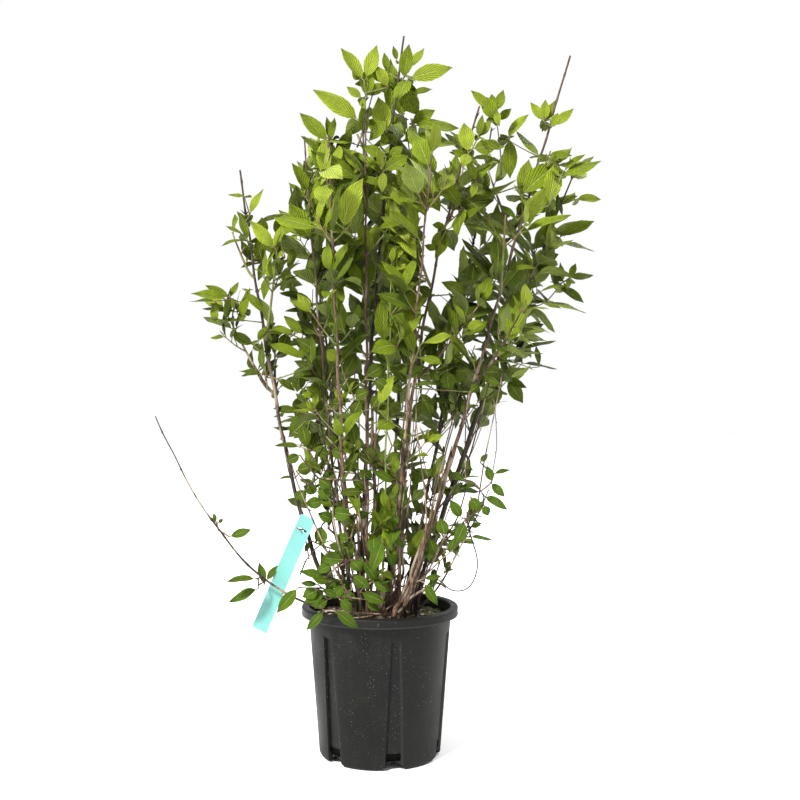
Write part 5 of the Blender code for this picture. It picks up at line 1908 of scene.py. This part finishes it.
def shape_leaves(corners, spots):
    """Corners of every blade: outline, quilting, fold, arch, twist and wavy edge."""
    along, across, side = corners.T
    length, wide, curl, fold, twist, wave = (
        np.array([getattr(spot, trait) for spot in spots])[:, None]
        for trait in ("length", "width", "curl", "fold", "twist", "wave"))
    rise, fall = LEAF_OUTLINE
    crest = rise / (rise + fall)
    clipped = np.clip(along, 1e-6, 1.0 - 1e-6)
    outline = (clipped / crest) ** rise * ((1 - clipped) / (1 - crest)) ** fall
    ripple = np.where(np.round(along * LEAF_ROWS) % 2 > 0, 1.0, -1.0)
    edge = np.abs(across)
    tooth = 1.0 + 0.018 * ripple * (edge > 0.9)
    half = 0.5 * wide * outline * tooth
    run = along + 0.065 * edge * np.sin(np.pi * along)
    flat = across * half
    quilt = 0.0028 * ripple * ((edge > 0.3) & (edge < 0.8))
    cup = np.tan(fold) * edge * half - 0.55 * edge ** 2 * half * (0.4 + 0.6 * along)
    phase = 8.0 * along + wave + 2.4 * (across > 0)
    ruffle = 0.022 * np.sin(phase) * edge ** 2 * np.sin(np.pi * along)
    lift = cup + ruffle + quilt + side * LEAF_THICKNESS * (1.0 - 0.5 * along)
    lean = twist * along
    across_y = flat * np.cos(lean) - lift * np.sin(lean)
    across_z = flat * np.sin(lean) + lift * np.cos(lean)
    safe = np.where(np.abs(curl) < 1e-3, 1e-3, curl)
    angle = safe * run ** 1.3
    x = np.sin(safe * run) / safe + across_z * np.sin(angle)
    z = -(1 - np.cos(safe * run)) / safe + across_z * np.cos(angle)
    return np.stack([x * length, across_y * length, z * length], axis=2)


def join_leaves(name, corners, faces, spots):
    """One mesh of all the blades of a tint."""
    local = shape_leaves(corners, spots)
    axes = np.array([[spot.along, spot.up.cross(spot.along), spot.up] for spot in spots])
    bases = np.array([spot.base for spot in spots])
    placed = np.einsum("nvk,nkc->nvc", local, axes) + bases[:, None, :]
    count, size = len(spots), len(corners)
    loops = np.array([index for face, _ in faces for index in face])
    totals = np.array([len(face) for face, _ in faces])
    mesh = bpy.data.meshes.new(name)
    mesh.vertices.add(count * size)
    mesh.vertices.foreach_set("co", placed.astype(np.float32).ravel())
    mesh.loops.add(count * len(loops))
    shift = np.arange(count)[:, None] * size
    mesh.loops.foreach_set("vertex_index", (loops[None, :] + shift).astype(np.int32).ravel())
    mesh.polygons.add(count * len(totals))
    starts = np.concatenate([[0], np.cumsum(np.tile(totals, count))[:-1]])
    mesh.polygons.foreach_set("loop_start", starts.astype(np.int32))
    kinds = np.tile(np.array([kind for _, kind in faces]), count)
    mesh.polygons.foreach_set("material_index", kinds.astype(np.int32))
    chart = mesh.uv_layers.new(name="blade")
    flat = np.stack([corners[:, 0], 0.5 + 0.5 * corners[:, 1]], axis=1)[loops]
    chart.data.foreach_set("uv", np.tile(flat, (count, 1)).astype(np.float32).ravel())
    mesh.update(calc_edges=True)
    mesh.validate()
    mesh.shade_smooth()
    mesh.set_sharp_from_angle(angle=math.radians(70))
    return mesh


def build_foliage(wood, settings):
    plant = Plant(settings)
    for mass in plan_masses():
        if mass.name not in PLACED_MASSES:
            grow_mass(plant, mass)
    grow_low_sprigs(plant)
    for spray in SPRAYS:
        grow_spray(plant, spray)
    names = sorted(name for name in NODES if name.startswith("foliage_"))
    corners, faces = leaf_blank()
    for tint, spots in plant.leaves.items():
        colour = tuple(getattr(settings, tint))
        over = leaf_finish(f"{tint} leaf", colour, under=False)
        underside = toward(colour, (0.22, 0.27, 0.10), 0.38)
        below = leaf_finish(f"{tint} leaf underside", underside, under=True)
        mesh = join_leaves(f"{tint}_leaves", corners, faces, spots)
        add_piece(mesh.name, mesh, [over, below], sorted(plant.masses[tint]))
    brown = bark_finish("twig bark", toward(wood.dark, wood.tan, 0.6))
    blush = toward(wood.blush, wood.dark, 0.5)
    green = young_bark_finish("green twig bark", toward(wood.green, wood.tan, 0.4), blush)
    stalk = young_bark_finish("leaf stalk skin", wood.petiole, wood.blush)
    plant.brown.piece("brown_twigs", brown, "bark", names)
    plant.green.piece("green_twigs", green, "green_bark")
    plant.stalks.piece("leaf_stalks", stalk, "green_bark")


# Label, its twig and a dry rootlet

def label_frame():
    """Where the label's twig leaves the cane, the way it points, and the label's long axis."""
    west = CANE["west"]
    share = (LABEL_HEIGHT - CROWN_TOP - GAP) / cane_height(west)
    forward = ray(LABEL_FACE)
    start = cane_point(west, share) + forward * cane_radius(west, share)
    across = UP.cross(forward)
    upright = UP * math.cos(LABEL_TILT) + across * math.sin(LABEL_TILT)
    return start, forward, upright


def build_label_twig(wood, start, forward):
    hold = start + forward * LABEL_TWIG_HOLD
    end = start + forward * LABEL_TWIG_END + Vector((-0.003, 0.0, 0.001))
    bundle = Bundle()
    path = smooth_path([start - forward * 0.003, hold, end], 8)
    bundle.tube(path, [0.0019 - 0.0001 * k for k in range(9)], 8)
    for share, side in ((0.45, 1.0), (0.86, -1.0)):
        root = start.lerp(end, share)
        reach = Vector((side * 0.8, -0.3, 0.5)).normalized() * 0.007
        bundle.spur(root, reach, [0.0009, 0.0008, 0.0004], sides=6, bend=0.5)
    bark = bark_finish("label twig bark", wood.dark)
    bundle.piece("label_spur", bark, "bark", ["label_twig"])


def label_row(row):
    """Height of a row of the strip's grid over the slot's middle."""
    top, bottom = LABEL_SLOT_DROP, LABEL_SLOT_DROP - LABEL_LENGTH
    if row == SLOT_ROW:
        return -LABEL_SLOT[1] / 2
    if row == SLOT_ROW + 1:
        return LABEL_SLOT[1] / 2
    if row < SLOT_ROW:
        return bottom + (-0.004 - bottom) * row / (SLOT_ROW - 1)
    return bottom + (top - bottom) * row / LABEL_ROWS


def build_label(wood):
    start, forward, upright = label_frame()
    build_label_twig(wood, start, forward)
    bm = bmesh.new()
    bmesh.ops.create_grid(bm, x_segments=6, y_segments=LABEL_ROWS, size=1.0)
    half, slot, top = LABEL_WIDTH / 2, LABEL_SLOT[0] / 2, LABEL_SLOT_DROP
    columns = (-half, -0.5 * (half + slot), -slot, 0.0, slot, 0.5 * (half + slot), half)
    for vert in bm.verts:
        row = round((1.0 + vert.co.y) * LABEL_ROWS / 2)
        vert.co = (columns[round((1.0 + vert.co.x) * 3)], label_row(row), 0.0)
    middles = [(face, face.calc_center_median()) for face in bm.faces]
    opening = [face for face, middle in middles if abs(middle.y) < 1e-5 and abs(middle.x) < slot]
    bmesh.ops.delete(bm, geom=opening, context="FACES")
    tops = [vert for vert in bm.verts if vert.co.y > top - 1e-6 and abs(vert.co.x) > half - 1e-6]
    bmesh.ops.bevel(
        bm, geom=tops, offset=LABEL_CORNER, offset_type="OFFSET", segments=5, profile=0.5,
        affect="VERTICES", material=-1)
    for vert in bm.verts:
        share = (top - vert.co.y) / LABEL_LENGTH
        cup = 0.0011 * (vert.co.x / half) ** 2
        vert.co.z = cup + 0.0055 * math.sin(math.pi * share) * share + 0.0016 * math.sin(7 * share)
    bmesh.ops.solidify(bm, geom=bm.faces[:], thickness=LABEL_THICKNESS)
    across = upright.cross(forward)
    place = Matrix((across, upright, forward)).transposed().to_4x4()
    place.translation = start + forward * LABEL_TWIG_HOLD - UP * (LABEL_SLOT[1] / 2 - 0.0015)
    bmesh.ops.transform(bm, matrix=place, verts=bm.verts)
    bmesh.ops.recalc_face_normals(bm, faces=bm.faces)
    mesh = mesh_of(bm, "label_strip")
    mesh.set_sharp_from_angle(angle=math.radians(40))
    plastic = label_finish("aqua label plastic", (0.115, 0.325, 0.310))
    add_piece("label_strip", mesh, [plastic], ["hanging_label"])


def build_rootlet():
    """A fine dry rootlet that curls out to the right of the canes."""
    points = [cane_point(CANE["right_sprig"], 0.17)]
    points += [from_photo(*place, ROOTLET_DEPTH) for place in ROOTLET]
    path = smooth_path(points, 48)
    bundle = Bundle()
    bundle.tube(path, [ROOTLET_RADIUS] * len(path), 6)
    dry = cut_wood_finish("dry rootlet", (0.055, 0.048, 0.042))
    bundle.piece("dry_rootlet", dry, "bark")


# Stage

def add_light(name, place, size, power, colour):
    """A round soft light that faces the middle of the plant."""
    light = bpy.data.lights.new(name, "AREA")
    light.shape = "DISK"
    light.size = size
    light.energy = power
    light.color = colour
    obj = show(name, light)
    obj.location = place
    obj.rotation_euler = (LIT_POINT - Vector(place)).to_track_quat("-Z", "Y").to_euler()


def build_stage(settings):
    scene = bpy.context.scene
    camera = bpy.data.cameras.new("front camera")
    camera.lens = CAMERA_LENS
    camera.sensor_width = SENSOR
    camera.shift_x = CAMERA_SHIFT
    holder = show("front camera", camera)
    holder.location = (0.0, -CAMERA_DISTANCE, CAMERA_HEIGHT)
    holder.rotation_euler = (math.pi / 2 - CAMERA_PITCH, 0.0, 0.0)
    scene.camera = holder
    bm = bmesh.new()
    bmesh.ops.create_circle(bm, cap_ends=True, segments=96, radius=FLOOR_RADIUS)
    floor = show("pale_floor", mesh_of(bm, "pale_floor", smooth=False))
    pale = Finish("pale floor", FLOOR_COLOUR, 0.9)
    floor.data.materials.append(pale.material)
    floor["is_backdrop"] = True
    world = bpy.data.worlds.new("studio")
    world.use_nodes = True
    sky = world.node_tree.nodes["Background"]
    sky.inputs["Color"].default_value = (1.0, 1.0, 1.0, 1.0)
    sky.inputs["Strength"].default_value = settings.fill
    scene.world = world
    for name, place, size, share, colour in LIGHTS:
        add_light(name, place, size, settings.key * share, colour)
    scene.view_settings.view_transform = "Standard"


# Operators, panel and registration

class HYDRANGEA_OT_stage(bpy.types.Operator):
    """Camera, pale floor and soft studio light"""

    bl_idname = "hydrangea.stage"
    bl_label = "Stage"

    def execute(self, context):
        build_stage(context.scene.hydrangea_stage)
        return {"FINISHED"}


class HYDRANGEA_OT_pot(bpy.types.Operator):
    """Fluted black nursery pot with drain holes"""

    bl_idname = "hydrangea.pot"
    bl_label = "Nursery pot"

    def execute(self, context):
        build_pot(context.scene.hydrangea_pot)
        return {"FINISHED"}


class HYDRANGEA_OT_mix(bpy.types.Operator):
    """Potting mix with chips, perlite, moss and litter"""

    bl_idname = "hydrangea.mix"
    bl_label = "Potting mix"

    def execute(self, context):
        build_mix(context.scene.hydrangea_pot)
        return {"FINISHED"}


class HYDRANGEA_OT_crown(bpy.types.Operator):
    """Knotted woody crown with old cut stubs"""

    bl_idname = "hydrangea.crown"
    bl_label = "Woody crown"

    def execute(self, context):
        build_crown(context.scene.hydrangea_wood)
        return {"FINISHED"}


class HYDRANGEA_OT_canes(bpy.types.Operator):
    """Barked canes with buds, spurs and fine bare shoots"""

    bl_idname = "hydrangea.canes"
    bl_label = "Canes"

    def execute(self, context):
        build_canes(context.scene.hydrangea_wood)
        return {"FINISHED"}


class HYDRANGEA_OT_foliage(bpy.types.Operator):
    """Twigs, leaf stalks and leaves of every mass"""

    bl_idname = "hydrangea.foliage"
    bl_label = "Foliage"

    def execute(self, context):
        build_foliage(context.scene.hydrangea_wood, context.scene.hydrangea_leaves)
        return {"FINISHED"}


class HYDRANGEA_OT_label(bpy.types.Operator):
    """Bare plastic label on its twig, and a dry rootlet"""

    bl_idname = "hydrangea.label"
    bl_label = "Label and rootlet"

    def execute(self, context):
        build_label(context.scene.hydrangea_wood)
        build_rootlet()
        return {"FINISHED"}


class HYDRANGEA_PT_panel(bpy.types.Panel):
    """Buttons for each piece of the plant"""

    bl_label = "Hydrangea"
    bl_idname = "HYDRANGEA_PT_panel"
    bl_space_type = "VIEW_3D"
    bl_region_type = "UI"
    bl_category = "Hydrangea"

    def draw(self, context):
        for group in ("hydrangea_stage", "hydrangea_pot", "hydrangea_wood", "hydrangea_leaves"):
            settings = getattr(context.scene, group)
            for name in settings.__annotations__:
                self.layout.prop(settings, name)
        for operator in OPERATORS:
            self.layout.operator(operator.bl_idname)


SETTINGS = {
    "hydrangea_stage": StageSettings,
    "hydrangea_pot": PotSettings,
    "hydrangea_wood": WoodSettings,
    "hydrangea_leaves": LeafSettings,
}
OPERATORS = (
    HYDRANGEA_OT_stage,
    HYDRANGEA_OT_pot,
    HYDRANGEA_OT_mix,
    HYDRANGEA_OT_crown,
    HYDRANGEA_OT_canes,
    HYDRANGEA_OT_foliage,
    HYDRANGEA_OT_label,
)


def register():
    for kind in (*SETTINGS.values(), *OPERATORS, HYDRANGEA_PT_panel):
        bpy.utils.register_class(kind)
    for name, kind in SETTINGS.items():
        setattr(bpy.types.Scene, name, PointerProperty(type=kind))


def unregister():
    for name in SETTINGS:
        delattr(bpy.types.Scene, name)
    for kind in reversed((*SETTINGS.values(), *OPERATORS, HYDRANGEA_PT_panel)):
        bpy.utils.unregister_class(kind)


def main():
    register()
    bpy.ops.hydrangea.stage()
    bpy.ops.hydrangea.pot()
    bpy.ops.hydrangea.mix()
    bpy.ops.hydrangea.crown()
    bpy.ops.hydrangea.canes()
    bpy.ops.hydrangea.foliage()
    bpy.ops.hydrangea.label()
    bpy.context.view_layer.update()
    boxes = {"solids": SOLID_BOUNDS, "visual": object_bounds()}
    {name: [list(corner) for corner in box] for name, box in boxes.items()}


if __name__ == "__main__":
    main()
